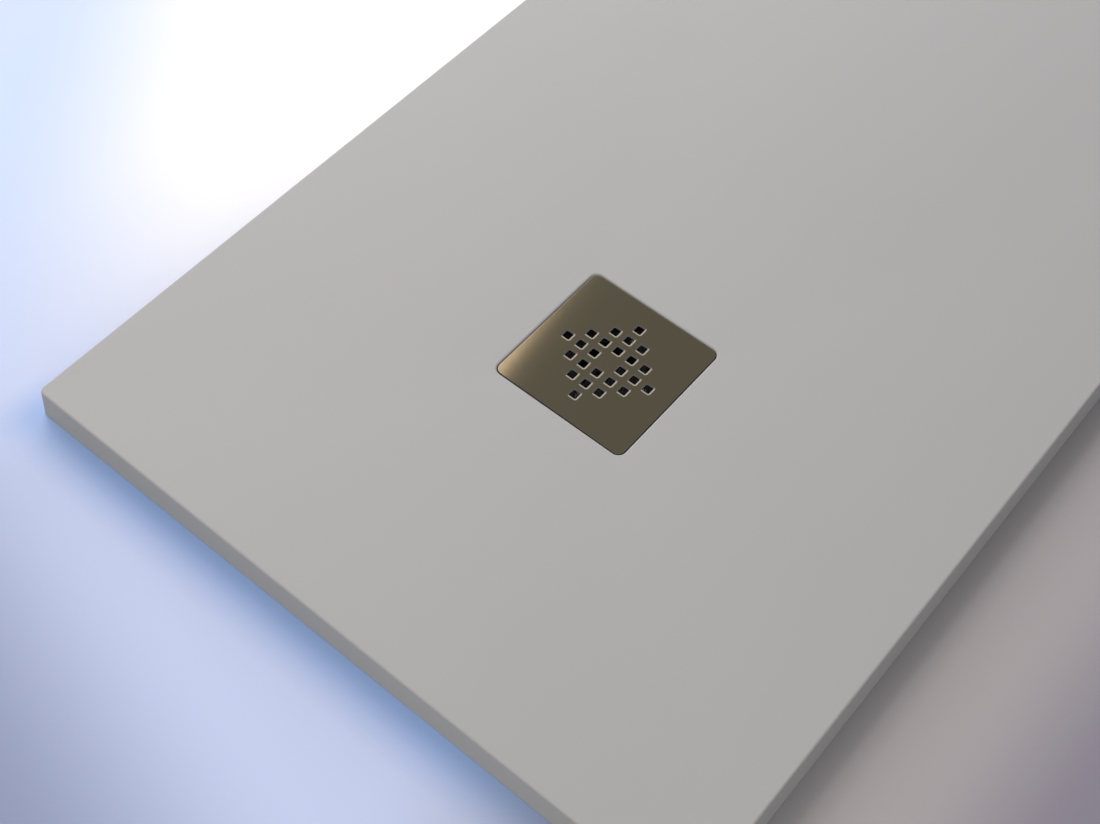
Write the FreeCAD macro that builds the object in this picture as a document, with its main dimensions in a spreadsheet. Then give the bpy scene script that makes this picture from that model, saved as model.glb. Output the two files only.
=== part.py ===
"""Low shower tray with a square grate over a removable-insert waste trap.

Row frame, in millimetres: +Z is up, +X runs across the tray and +Y along it, away from the drain's end.
The origin is the centre of the underside, on which the slab is bedded, so the trap hangs below Z = 0.
"""
import FreeCAD, Part
import math
import os
import Sketcher

# Driving sizes in millimetres. Everything else is worked out from these.
SIZES = {
    # slab
    "tray_width": 700.0,  # over the underside
    "tray_length": 1200.0,  # over the underside
    "tray_height": 32.0,  # underside to rim
    "side_flare": 3.0,  # how far the underside stands out past the rim, on each side
    "tray_corner": 6.0,  # upright corners
    "rim_round": 2.0,  # rounding of the rim
    "fall_depth": 6.0,  # rim to the lip of the recess
    "lip_width": 2.2,  # level band round the recess
    "lip_round": 2.0,  # rounding of the lip
    "drain_to_end": 343.0,  # middle of the drain to the near end of the underside
    # grate
    "grate_side": 140.0,
    "grate_corner": 7.0,
    "grate_thickness": 2.0,
    "grate_edge_round": 0.4,
    "grate_gap": 0.7,  # between the plate and the recess wall
    "grate_sink": 0.8,  # plate's top below the lip
    "hole_side": 7.2,
    "hole_corner": 0.8,
    "hole_pitch": 15.0,
    "hole_edge_round": 1.4,  # rolled in by the punch
    "foot_height": 8.2,
    "foot_radius": 5.0,
    "foot_sole": 1.0,  # rubber under the end of the stud
    "foot_inset": 12.0,  # plate's edge to the middle of a foot
    "stud_radius": 2.0,
    # waste flange in the recess
    "drain_hole_radius": 45.0,  # round hole through the slab
    "flange_lap": 12.0,  # how far the flange reaches over the slab
    "flange_margin": 1.0,  # around the flange, in its step
    "flange_thickness": 2.5,
    "flange_gasket_thickness": 1.5,
    "rim_seat": 3.0,  # width of the ledge under the basket's rim
    # clamp screws
    "screw_radius": 2.0,
    "screw_head_radius": 4.0,
    "screw_head_depth": 2.0,
    "screw_length": 14.0,
    "screw_edge": 0.4,  # from a screw head to the basket's rebate
    "socket_radius": 1.4,  # hexagon socket, across its corners
    "socket_depth": 1.3,
    "insert_radius": 2.8,
    "insert_length": 8.0,
    "boss_wall": 1.8,
    "clamp_gap": 0.8,  # left for tightening, under the flange
    # trap head
    "neck_gap": 1.0,  # between the neck and the slab's hole
    "neck_wall": 3.5,
    "head_lap": 17.0,  # how far the head's flange reaches under the slab
    "head_flange_thickness": 3.0,
    "neck_gasket_thickness": 2.0,
    "pocket_depth": 4.0,  # recess in the underside
    "pocket_margin": 4.0,  # around the head's flange
    "shelf_drop": 9.0,  # underside of the slab to the shelf that carries the insert
    "shelf_thickness": 5.0,
    "outlet_bore": 17.0,
    "outlet_wall": 5.0,
    "spigot_length": 31.0,  # past the outside of the head
    # trap bowl
    "waterway": 25.0,  # between the dip tube and the wall
    "bowl_wall": 3.0,
    "bowl_floor_gap": 12.0,  # under the end of the dip tube
    "bowl_corner": 10.0,
    "water_seal": 50.0,
    "collar_clear": 4.0,  # from the spigot to the bowl's collar
    "collar_overlap": 12.0,
    "collar_wall": 3.7,
    "bowl_seal_thickness": 2.0,
    # siphon insert
    "insert_play": 1.0,  # between the insert's head and the flange's opening
    "insert_seat": 2.5,  # width of the ledge under the insert's head
    "insert_head_thickness": 4.0,
    "dip_step": 3.0,  # from the insert's seat bore to the dip tube
    "dip_wall": 2.0,
    "seal_ring_section": 2.5,
    "bar_width": 5.0,
    # hair basket
    "basket_play": 1.7,  # between the basket and the flange's opening
    "basket_wall": 1.5,
    "basket_rim_thickness": 1.2,
    "basket_clear": 1.0,  # from the basket's floor to the insert
    "basket_slot": 2.4,
    "basket_hole_radius": 2.0,
    "basket_inner_circle": 10.2,  # radius of the inner ring of holes in its floor
    "basket_outer_circle": 21.0,
    # outlet joint
    "outlet_seal_thickness": 3.0,
    "tail_wall": 2.5,
    "tail_collar": 4.0,  # thickness of the collar on the elbow's tail
    "tail_free": 5.0,  # straight tail past the nut
    "swivel_gap": 0.1,  # end play of the collar
    "running_gap": 0.08,  # radial play of a turning fit
    "nut_grip": 18.0,
    "nut_wall": 4.0,
    "nut_end_wall": 3.8,
    "nut_rib": 1.7,
    "nut_rib_width": 5.0,
    "nut_clear": 4.0,  # from the pipe nut to the slab, when the elbow lies level
    # elbow and waste pipe
    "bend_radius": 32.0,
    "socket_step": 4.0,  # from the bend to the pipe socket
    "pipe_radius": 20.0,  # waste pipe's outside
    "pipe_gap": 0.15,
    "socket_depth_pipe": 36.0,
    "socket_wall": 3.85,
    "pipe_seal_thickness": 3.0,
    # gaps of standing fits
    "thread_gap": 0.3,
    "seat_gap": 0.3,  # a piece lying in its rebate
    "ring_gap": 0.05,  # sealing ring to what it seals
    "gasket_margin": 0.5,
    "fastener_gap": 0.1,
}

HOLE_RINGS = 3  # square holes stand up to this many pitches from the middle
NUT_RIBS = 10
BASKET_SLOTS = 16
BASKET_INNER_HOLES = 8
BASKET_OUTER_HOLES = 16
QUARTERS = ((1, 0), (0, 1), (-1, 0), (0, -1))
CORNERS = ((1, 1), (-1, 1), (-1, -1), (1, -1))

OVERCUT = 1  # how far a cutter reaches past the faces it opens
RIB_ROOT = 1  # how deep a rib starts inside its nut
NEAR = 1  # an edge this near to an outline belongs to it
SLACK = 0.01  # in telling an edge's level
LOFT_SLACK = 0.05  # the same, along the rim between lofts

# Levels along Z, as expressions of the driving sizes
LIP = "(dim.tray_height - dim.fall_depth)"
GRATE_TOP = f"({LIP} - dim.grate_sink)"
GRATE_BOTTOM = f"({GRATE_TOP} - dim.grate_thickness)"
RECESS_FLOOR = f"({GRATE_BOTTOM} - dim.foot_height)"
FLANGE_BOTTOM = f"({RECESS_FLOOR} - dim.flange_thickness)"
FLANGE_SEAT = f"({FLANGE_BOTTOM} - dim.flange_gasket_thickness)"
RIM_SEAT = f"({RECESS_FLOOR} - dim.basket_rim_thickness)"
BOSS_TOP = f"({FLANGE_BOTTOM} - dim.clamp_gap)"
HEAD_TOP = "(dim.pocket_depth - dim.neck_gasket_thickness)"
HEAD_UNDER = f"({HEAD_TOP} - dim.head_flange_thickness)"
SHELF_TOP = "(0 - dim.shelf_drop)"
SHELF_UNDER = f"({SHELF_TOP} - dim.shelf_thickness)"
INSERT_TOP = f"({SHELF_TOP} + dim.insert_head_thickness)"
BASKET_UNDER = f"({INSERT_TOP} + dim.basket_clear)"

# Radii about the drain's axis
NECK = "(dim.drain_hole_radius - dim.neck_gap)"
NECK_INSIDE = f"({NECK} - dim.neck_wall)"
BOSS = "(dim.insert_radius + dim.boss_wall)"
SCREW_CIRCLE = f"({NECK} - {BOSS} - dim.fastener_gap)"
REBATE = f"({SCREW_CIRCLE} - dim.screw_head_radius - dim.screw_edge)"
BASKET_RIM = f"({REBATE} - dim.seat_gap)"
OPENING = f"({BASKET_RIM} - dim.rim_seat)"
BASKET = f"({OPENING} - dim.basket_play)"
INSERT_HEAD = f"({OPENING} - dim.insert_play)"
SEAT_BORE = f"({INSERT_HEAD} - dim.insert_seat)"
PLUG = f"({SEAT_BORE} - dim.seat_gap)"
DIP_TUBE = f"({SEAT_BORE} - dim.dip_step)"
DIP_BORE = f"({DIP_TUBE} - dim.dip_wall)"
FLANGE = "(dim.drain_hole_radius + dim.flange_lap)"
FLANGE_STEP = f"({FLANGE} + dim.flange_margin)"
HEAD_FLANGE = "(dim.drain_hole_radius + dim.head_lap)"
POCKET = f"({HEAD_FLANGE} + dim.pocket_margin)"
BOWL_INSIDE = f"({DIP_TUBE} + dim.waterway)"
BOWL_OUTSIDE = f"({BOWL_INSIDE} + dim.bowl_wall)"
COLLAR_INSIDE = f"({BOWL_OUTSIDE} + dim.thread_gap)"
COLLAR_OUTSIDE = f"({COLLAR_INSIDE} + dim.collar_wall)"

# Radii and stations of the outlet, which leaves along +Y
SPIGOT = "(dim.outlet_bore + dim.outlet_wall)"
TAIL = "(dim.outlet_bore + dim.tail_wall)"
PIPE_BORE = "(dim.pipe_radius + dim.pipe_gap)"
SOCKET = f"({PIPE_BORE} + dim.socket_wall)"
PIPE_NUT = f"({SOCKET} + dim.thread_gap + dim.nut_wall + dim.nut_rib)"
OUTLET_LEVEL = f"(0 - {PIPE_NUT} - dim.nut_clear)"
SPIGOT_END = f"({BOWL_OUTSIDE} + dim.spigot_length)"
SEAL_END = f"({SPIGOT_END} + dim.outlet_seal_thickness)"
TAIL_START = f"({SEAL_END} + dim.swivel_gap)"
TAIL_COLLAR_END = f"({TAIL_START} + dim.tail_collar)"
SHOULDER = f"({TAIL_COLLAR_END} + dim.swivel_gap)"
BEND_START = f"({SHOULDER} + dim.nut_end_wall + dim.tail_free)"
LEG_STATION = f"({BEND_START} + dim.bend_radius)"
LEG_TOP = f"({OUTLET_LEVEL} - dim.bend_radius)"
SOCKET_TOP = f"({LEG_TOP} - dim.socket_step)"
MOUTH = f"({SOCKET_TOP} - dim.socket_depth_pipe)"
PIPE_SEAL_END = f"({MOUTH} - dim.pipe_seal_thickness)"
PIPE_NUT_END = f"({PIPE_SEAL_END} - dim.nut_end_wall)"

# Levels of the trap below its outlet
WEIR = f"({OUTLET_LEVEL} - dim.outlet_bore)"
DIP_END = f"({WEIR} - dim.water_seal)"
COLLAR_TOP = f"({OUTLET_LEVEL} - {SPIGOT} - dim.collar_clear)"
SKIRT_END = f"({COLLAR_TOP} - dim.collar_overlap)"
BOWL_LEDGE = f"({SKIRT_END} - dim.bowl_seal_thickness)"
BOWL_FLOOR = f"({DIP_END} - dim.bowl_floor_gap)"
BOWL_UNDER = f"({BOWL_FLOOR} - dim.bowl_wall)"

DRAIN_Y = "(dim.drain_to_end - dim.tray_length / 2)"
FOOT_OFFSET = "(dim.grate_side / 2 - dim.foot_inset)"
RECESS_SIDE = "(dim.grate_side + 2 * dim.grate_gap)"
RECESS_CORNER = "(dim.grate_corner + dim.grate_gap)"

doc = FreeCAD.newDocument("shower_tray")
dim = doc.addObject("Spreadsheet::Sheet", "dim")


def fill_sheet():
    """Write each driving size in the sheet, under its own alias."""
    for row, (alias, size) in enumerate(SIZES.items(), start=1):
        dim.set(f"A{row}", alias.replace("_", " "))
        dim.set(f"B{row}", str(size))
        dim.setAlias(f"B{row}", alias)
    doc.recompute()


def value(expression):
    """The number that an expression of the sheet's sizes gives now."""
    return float(dim.evalExpression(expression))


def place(piece, x="0", y="0", z="0"):
    """Bind a piece's place to the sheet."""
    for axis, expression in (("x", x), ("y", y), ("z", z)):
        piece.setExpression(f"Placement.Base.{axis}", expression)
    return piece


def turn(piece, axis, degrees):
    """Turn a piece about its own origin."""
    piece.Placement = FreeCAD.Placement(piece.Placement.Base, FreeCAD.Rotation(axis, degrees))
    return piece


def new_body(label, y=DRAIN_Y, z="0"):
    """An empty body on the drain's axis, unless another place is given."""
    body = doc.addObject("PartDesign::Body", label)
    body.Label = label
    body.AllowCompound = True
    return place(body, "0", y, z)


def origin_part(body, role):
    """One of the body's own origin planes or axes."""
    return next(feature for feature in body.Origin.OriginFeatures if feature.Role == role)


def new_sketch(body, name, plane="XY_Plane", offset="0"):
    """A sketch on one of the body's origin planes, moved along its normal by offset."""
    sketch = body.newObject("Sketcher::SketchObject", name)
    sketch.AttachmentSupport = [(origin_part(body, plane), "")]
    sketch.MapMode = "FlatFace"
    sketch.setExpression("AttachmentOffset.Base.z", offset)
    return sketch


def bind(sketch, constraint, expression):
    """Add a constraint whose size follows the sheet."""
    index = sketch.addConstraint(constraint)
    sketch.renameConstraint(index, f"size_{index}")
    sketch.setExpression(f"Constraints.size_{index}", expression)


def pin_point(sketch, line, end, x, y):
    """Hold a line's end at a place given by two expressions."""
    for kind, axis, expression in (("DistanceX", -2, x), ("DistanceY", -1, y)):
        place_now = value(expression)
        if math.isclose(place_now, 0, abs_tol=1e-9):
            sketch.addConstraint(Sketcher.Constraint("PointOnObject", line, end, axis))
        else:
            bind(sketch, Sketcher.Constraint(kind, -1, 1, line, end, place_now), expression)


def polygon(sketch, points):
    """A closed outline through points, each a pair of expressions."""
    corners = [FreeCAD.Vector(value(x), value(y), 0) for x, y in points]
    count = len(points)
    first = sketch.GeometryCount
    for i in range(count):
        sketch.addGeometry(Part.LineSegment(corners[i], corners[(i + 1) % count]))
    for i in range(count):
        follower = first + (i + 1) % count
        sketch.addConstraint(Sketcher.Constraint("Coincident", first + i, 2, follower, 1))
    for i, (x, y) in enumerate(points):
        pin_point(sketch, first + i, 1, x, y)


def rectangle(sketch, width, height, x="0", y="0"):
    """A rectangle about (x, y)."""
    left, right = f"({x}) - ({width}) / 2", f"({x}) + ({width}) / 2"
    low, high = f"({y}) - ({height}) / 2", f"({y}) + ({height}) / 2"
    polygon(sketch, [(left, low), (right, low), (right, high), (left, high)])


def rounded_square(sketch, side, corner, x="0", y="0"):
    """A square with round corners about (x, y), its sides along the sketch's axes."""
    half, radius = value(side) / 2, value(corner)
    middle = FreeCAD.Vector(value(x), value(y), 0)
    up = FreeCAD.Vector(0, 0, 1)
    first = sketch.GeometryCount
    for i in range(4):
        spin = FreeCAD.Rotation(up, 90 * i)
        start = middle + spin.multVec(FreeCAD.Vector(radius - half, -half, 0))
        end = middle + spin.multVec(FreeCAD.Vector(half - radius, -half, 0))
        sketch.addGeometry(Part.LineSegment(start, end))
    for i in range(4):
        spin = FreeCAD.Rotation(up, 90 * i)
        centre = middle + spin.multVec(FreeCAD.Vector(half - radius, radius - half, 0))
        circle = Part.Circle(centre, up, radius)
        quarter = math.pi / 2
        sketch.addGeometry(Part.ArcOfCircle(circle, quarter * (i - 1), quarter * i))
    for i in range(4):
        line, arc, following = first + i, first + 4 + i, first + (i + 1) % 4
        sketch.addConstraint(Sketcher.Constraint("Tangent", line, 2, arc, 1))
        sketch.addConstraint(Sketcher.Constraint("Tangent", arc, 2, following, 1))
        sketch.addConstraint(Sketcher.Constraint("Horizontal" if i % 2 == 0 else "Vertical", line))
    for i in range(1, 4):
        sketch.addConstraint(Sketcher.Constraint("Equal", first + 4, first + 4 + i))
    bind(sketch, Sketcher.Constraint("Radius", first + 4, radius), corner)
    pin_side(sketch, "DistanceX", first + 1, middle.x + half, f"({x}) + ({side}) / 2")
    pin_side(sketch, "DistanceX", first + 3, middle.x - half, f"({x}) - ({side}) / 2")
    pin_side(sketch, "DistanceY", first, middle.y - half, f"({y}) - ({side}) / 2")
    pin_side(sketch, "DistanceY", first + 2, middle.y + half, f"({y}) + ({side}) / 2")


def pin_side(sketch, kind, line, place_now, expression):
    """Hold a level or upright line at a distance from the origin."""
    bind(sketch, Sketcher.Constraint(kind, -1, 1, line, 1, place_now), expression)


def circle(sketch, radius, x="0", y="0"):
    """A circle about (x, y)."""
    middle = FreeCAD.Vector(value(x), value(y), 0)
    index = sketch.addGeometry(Part.Circle(middle, FreeCAD.Vector(0, 0, 1), value(radius)))
    bind(sketch, Sketcher.Constraint("Radius", index, value(radius)), radius)
    pin_point(sketch, index, 3, x, y)


def pad(body, sketch, name, length, reverse=False):
    """Raise a sketch along its normal, or against it."""
    feature = body.newObject("PartDesign::Pad", name)
    feature.Profile = sketch
    feature.Reversed = reverse
    feature.setExpression("Length", length)
    doc.recompute()
    return feature


def cut(body, sketch, name, length, along_normal=True):
    """Cut a sketch into the body along its normal, or against it, and see that it cuts."""
    before = body.Shape.Volume
    feature = body.newObject("PartDesign::Pocket", name)
    feature.Profile = sketch
    feature.Reversed = along_normal
    feature.setExpression("Length", length)
    doc.recompute()
    if body.Shape.Volume > before - SLACK:
        raise RuntimeError(f"{name} cuts nothing")
    return feature


def revolve(body, sketch, name, kind="Revolution"):
    """Turn a sketch about its own upright axis."""
    feature = body.newObject(f"PartDesign::{kind}", name)
    feature.Profile = sketch
    feature.ReferenceAxis = (sketch, ["V_Axis"])
    feature.Angle = 360
    doc.recompute()
    return feature


def repeat_round(body, features, name, count):
    """Repeat features evenly about the body's upright axis."""
    pattern = body.newObject("PartDesign::PolarPattern", name)
    pattern.Originals = features
    pattern.Axis = (origin_part(body, "Z_Axis"), [""])
    pattern.Angle = 360
    pattern.Occurrences = count
    body.Tip = pattern
    doc.recompute()
    return pattern


def round_edges(body, name, radius, chosen, kind="Fillet"):
    """Round or bevel the body's edges for which chosen(edge) holds."""
    base = body.Tip
    names = [f"Edge{i}" for i, edge in enumerate(base.Shape.Edges, start=1) if chosen(edge)]
    if not names:
        raise RuntimeError(f"{name} finds no edge")
    feature = body.newObject(f"PartDesign::{kind}", name)
    feature.Base = (base, names)
    feature.setExpression("Radius" if kind == "Fillet" else "Size", radius)
    body.Tip = feature
    doc.recompute()
    return feature


def turned(label, points, base="0", y=DRAIN_Y):
    """A turned body: points are (radius, level) pairs, and base is the level of the body's origin."""
    body = new_body(label, y, base)
    sketch = new_sketch(body, f"{label}_profile", "XZ_Plane")
    polygon(sketch, [(radius, f"{level} - {base}") for radius, level in points])
    revolve(body, sketch, f"{label}_turned")
    return body


def ring(label, inner, outer, low, high):
    """A flat ring on the drain's axis."""
    return turned(label, [(inner, low), (outer, low), (outer, high), (inner, high)], low)


def level_edge(edge, level, slack=SLACK):
    """Does the whole edge lie at this level?"""
    box = edge.BoundBox
    return abs(box.ZMin - level) < slack and abs(box.ZMax - level) < slack


# ---------------------------------------------------------------- slab


def tray_slab():
    """Slab with leaning sides, four plane falls to the square recess, and the round waste hole."""
    body = new_body("tray_slab", "0", "0")
    rim_width = "dim.tray_width - 2 * dim.side_flare"
    rim_length = "dim.tray_length - 2 * dim.side_flare"
    lip_side = f"{RECESS_SIDE} + 2 * dim.lip_width"

    foot = new_sketch(body, "slab_foot")
    rectangle(foot, "dim.tray_width", "dim.tray_length")
    rim = new_sketch(body, "slab_rim", offset="dim.tray_height")
    rectangle(rim, rim_width, rim_length)
    block = body.newObject("PartDesign::AdditiveLoft", "slab_block")
    block.Profile = foot
    block.Sections = [rim]
    block.Ruled = True
    doc.recompute()

    fall_rim = new_sketch(body, "fall_rim", offset="dim.tray_height")
    rectangle(fall_rim, rim_width, rim_length)
    fall_lip = new_sketch(body, "fall_lip", offset=LIP)
    rectangle(fall_lip, lip_side, lip_side, y=DRAIN_Y)
    falls = body.newObject("PartDesign::SubtractiveLoft", "slab_falls")
    falls.Profile = fall_rim
    falls.Sections = [fall_lip]
    falls.Ruled = True
    doc.recompute()

    recess = new_sketch(body, "recess_outline", offset=RECESS_FLOOR)
    rounded_square(recess, RECESS_SIDE, RECESS_CORNER, y=DRAIN_Y)
    cut(body, recess, "slab_recess", "dim.tray_height")

    waste = new_sketch(body, "waste_profile", "XZ_Plane", f"0 - {DRAIN_Y}")
    polygon(
        waste,
        [
            ("0", "0 - dim.pocket_depth"),
            (POCKET, "0 - dim.pocket_depth"),
            (POCKET, "dim.pocket_depth"),
            ("dim.drain_hole_radius", "dim.pocket_depth"),
            ("dim.drain_hole_radius", FLANGE_SEAT),
            (FLANGE_STEP, FLANGE_SEAT),
            (FLANGE_STEP, GRATE_TOP),
            ("0", GRATE_TOP),
        ],
    )
    revolve(body, waste, "slab_waste_hole", "Groove")

    def upright(edge):
        box = edge.BoundBox
        outside = abs(box.Center.x) > value(rim_width) / 2 - NEAR
        return outside and box.ZLength > value("dim.tray_height") / 2

    round_edges(body, "slab_corners", "dim.tray_corner", upright)

    def on_rim(edge):
        return level_edge(edge, value("dim.tray_height"), LOFT_SLACK)

    round_edges(body, "slab_rim_round", "dim.rim_round", on_rim)

    def on_lip(edge):
        half = value(RECESS_SIDE) / 2 + SLACK
        box = edge.BoundBox
        return level_edge(edge, value(LIP)) and max(abs(box.XMin), abs(box.XMax)) < half

    round_edges(body, "slab_lip_round", "dim.lip_round", on_lip)
    return body


# ---------------------------------------------------------------- grate


def grate_plate():
    """Flat square plate with a diamond of small square holes and none in the middle."""
    body = new_body("grate_plate", z=GRATE_BOTTOM)
    outline = new_sketch(body, "plate_outline")
    rounded_square(outline, "dim.grate_side", "dim.grate_corner")
    pad(body, outline, "plate", "dim.grate_thickness")

    quarter = new_sketch(body, "plate_holes_quarter")
    for row in range(HOLE_RINGS):
        for column in range(1, HOLE_RINGS + 1 - row):
            x, y = f"{column} * dim.hole_pitch", f"{row} * dim.hole_pitch"
            rounded_square(quarter, "dim.hole_side", "dim.hole_corner", x, y)
    holes = cut(body, quarter, "plate_holes", "dim.grate_thickness")
    repeat_round(body, [holes], "plate_holes_round", 4)

    def top_hole(edge):
        inside = edge.BoundBox.Center.Length < value("dim.grate_side") / 2 - NEAR
        return inside and level_edge(edge, value("dim.grate_thickness"))

    def top_outline(edge):
        outside = edge.BoundBox.Center.Length > value("dim.grate_side") / 2 - NEAR
        return outside and level_edge(edge, value("dim.grate_thickness"))

    round_edges(body, "plate_hole_rounds", "dim.hole_edge_round", top_hole)
    round_edges(body, "plate_edge_round", "dim.grate_edge_round", top_outline)
    return body


def cylinder(name, radius, height, x="0", y="0", z="0"):
    """An upright cylinder that follows the sheet."""
    piece = doc.addObject("Part::Cylinder", name)
    piece.setExpression("Radius", radius)
    piece.setExpression("Height", height)
    return place(piece, x, y, z)


def cone(name, low_radius, high_radius, height, x="0", y="0", z="0"):
    """An upright cone that follows the sheet."""
    piece = doc.addObject("Part::Cone", name)
    piece.setExpression("Radius1", low_radius)
    piece.setExpression("Radius2", high_radius)
    piece.setExpression("Height", height)
    return place(piece, x, y, z)


def fuse(name, pieces):
    """Join pieces into one solid."""
    joined = doc.addObject("Part::MultiFuse", name)
    joined.Shapes = pieces
    joined.Refine = True
    return joined


def subtract(name, base, tool):
    """Take one piece away from another."""
    result = doc.addObject("Part::Cut", name)
    result.Base = base
    result.Tool = tool
    return result


def group(label, pieces):
    """Separate identical pieces that share one node."""
    compound = doc.addObject("Part::Compound", label)
    compound.Label = label
    compound.Links = pieces
    return compound


def grate_studs():
    """Pins welded under the plate's corners."""
    length = "dim.foot_height - dim.foot_sole"
    studs = []
    for i, (right, back) in enumerate(CORNERS):
        x, y = f"{right} * {FOOT_OFFSET}", f"{back} * {FOOT_OFFSET} + {DRAIN_Y}"
        low = f"{RECESS_FLOOR} + dim.foot_sole"
        studs.append(cylinder(f"stud_{i}", "dim.stud_radius", length, x, y, low))
    return group("grate_studs", studs)


def grate_feet():
    """Rubber caps pushed over the studs, which stand on the floor of the recess."""
    feet = []
    for i, (right, back) in enumerate(CORNERS):
        x, y = f"{right} * {FOOT_OFFSET}", f"{back} * {FOOT_OFFSET} + {DRAIN_Y}"
        cap = cylinder(f"foot_block_{i}", "dim.foot_radius", "dim.foot_height", x, y, RECESS_FLOOR)
        bore_radius = "dim.stud_radius + dim.ring_gap"
        low = f"{RECESS_FLOOR} + dim.foot_sole"
        bore = cylinder(f"foot_bore_{i}", bore_radius, "dim.foot_height", x, y, low)
        feet.append(subtract(f"foot_{i}", cap, bore))
    return group("grate_feet", feet)


# ---------------------------------------------------------------- flange and clamp


def waste_flange():
    """Ring that clamps the waste to the slab, with a ledge for the basket and countersunk holes."""
    points = [
        (OPENING, FLANGE_BOTTOM),
        (FLANGE, FLANGE_BOTTOM),
        (FLANGE, RECESS_FLOOR),
        (REBATE, RECESS_FLOOR),
        (REBATE, RIM_SEAT),
        (OPENING, RIM_SEAT),
    ]
    blank = turned("flange_blank", points, FLANGE_BOTTOM)
    head = "dim.screw_head_radius + dim.fastener_gap"
    shank = "dim.screw_radius + dim.fastener_gap"
    cutters = []
    for i, (right, back) in enumerate(QUARTERS):
        x, y = f"{right} * {SCREW_CIRCLE}", f"{back} * {SCREW_CIRCLE} + {DRAIN_Y}"
        low = f"{RECESS_FLOOR} - dim.screw_head_depth"
        cutters.append(cone(f"flange_sink_{i}", shank, head, "dim.screw_head_depth", x, y, low))
        depth = "2 * dim.flange_thickness"
        through = f"{FLANGE_BOTTOM} - dim.flange_thickness"
        cutters.append(cylinder(f"flange_hole_{i}", shank, depth, x, y, through))
    flange = subtract("waste_flange", blank, fuse("flange_cutters", cutters))
    flange.Label = "waste_flange"
    return flange


def flange_gasket():
    """Flat gasket between the flange and its step in the slab."""
    inner = "dim.drain_hole_radius + dim.gasket_margin"
    return ring("flange_gasket", inner, f"{FLANGE} - dim.gasket_margin", FLANGE_SEAT, FLANGE_BOTTOM)


def clamp_screws():
    """Countersunk screws with hexagon sockets, from the flange into the trap head."""
    screws = []
    for i, (right, back) in enumerate(QUARTERS):
        x, y = f"{right} * {SCREW_CIRCLE}", f"{back} * {SCREW_CIRCLE} + {DRAIN_Y}"
        head_low = f"{RECESS_FLOOR} - dim.screw_head_depth"
        radii = ("dim.screw_radius", "dim.screw_head_radius")
        head = cone(f"screw_head_{i}", *radii, "dim.screw_head_depth", x, y, head_low)
        length = "dim.screw_length - dim.screw_head_depth / 2"
        tip = f"{RECESS_FLOOR} - dim.screw_length"
        shank = cylinder(f"screw_shank_{i}", "dim.screw_radius", length, x, y, tip)
        socket = doc.addObject("Part::Prism", f"screw_socket_{i}")
        socket.Polygon = 6
        socket.setExpression("Circumradius", "dim.socket_radius")
        socket.setExpression("Height", "2 * dim.socket_depth")
        place(socket, x, y, f"{RECESS_FLOOR} - dim.socket_depth")
        screws.append(subtract(f"screw_{i}", fuse(f"screw_blank_{i}", [head, shank]), socket))
    return group("clamp_screws", screws)


def screw_inserts():
    """Brass threaded inserts in the bosses of the trap head."""
    inserts = []
    for i, (right, back) in enumerate(QUARTERS):
        x, y = f"{right} * {SCREW_CIRCLE}", f"{back} * {SCREW_CIRCLE} + {DRAIN_Y}"
        low = f"{BOSS_TOP} - dim.insert_length"
        sleeve = cylinder(f"insert_block_{i}", "dim.insert_radius", "dim.insert_length", x, y, low)
        bore_radius = "dim.screw_radius + dim.ring_gap"
        bore = cylinder(f"insert_bore_{i}", bore_radius, "2 * dim.insert_length", x, y, low)
        inserts.append(subtract(f"insert_{i}", sleeve, bore))
    return group("screw_inserts", inserts)


def neck_gasket():
    """Flat gasket between the trap head and the underside of the slab."""
    outer = f"{HEAD_FLANGE} - dim.gasket_margin"
    return ring("neck_gasket", f"{NECK} + dim.gasket_margin", outer, HEAD_TOP, "dim.pocket_depth")


# ---------------------------------------------------------------- trap


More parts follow.
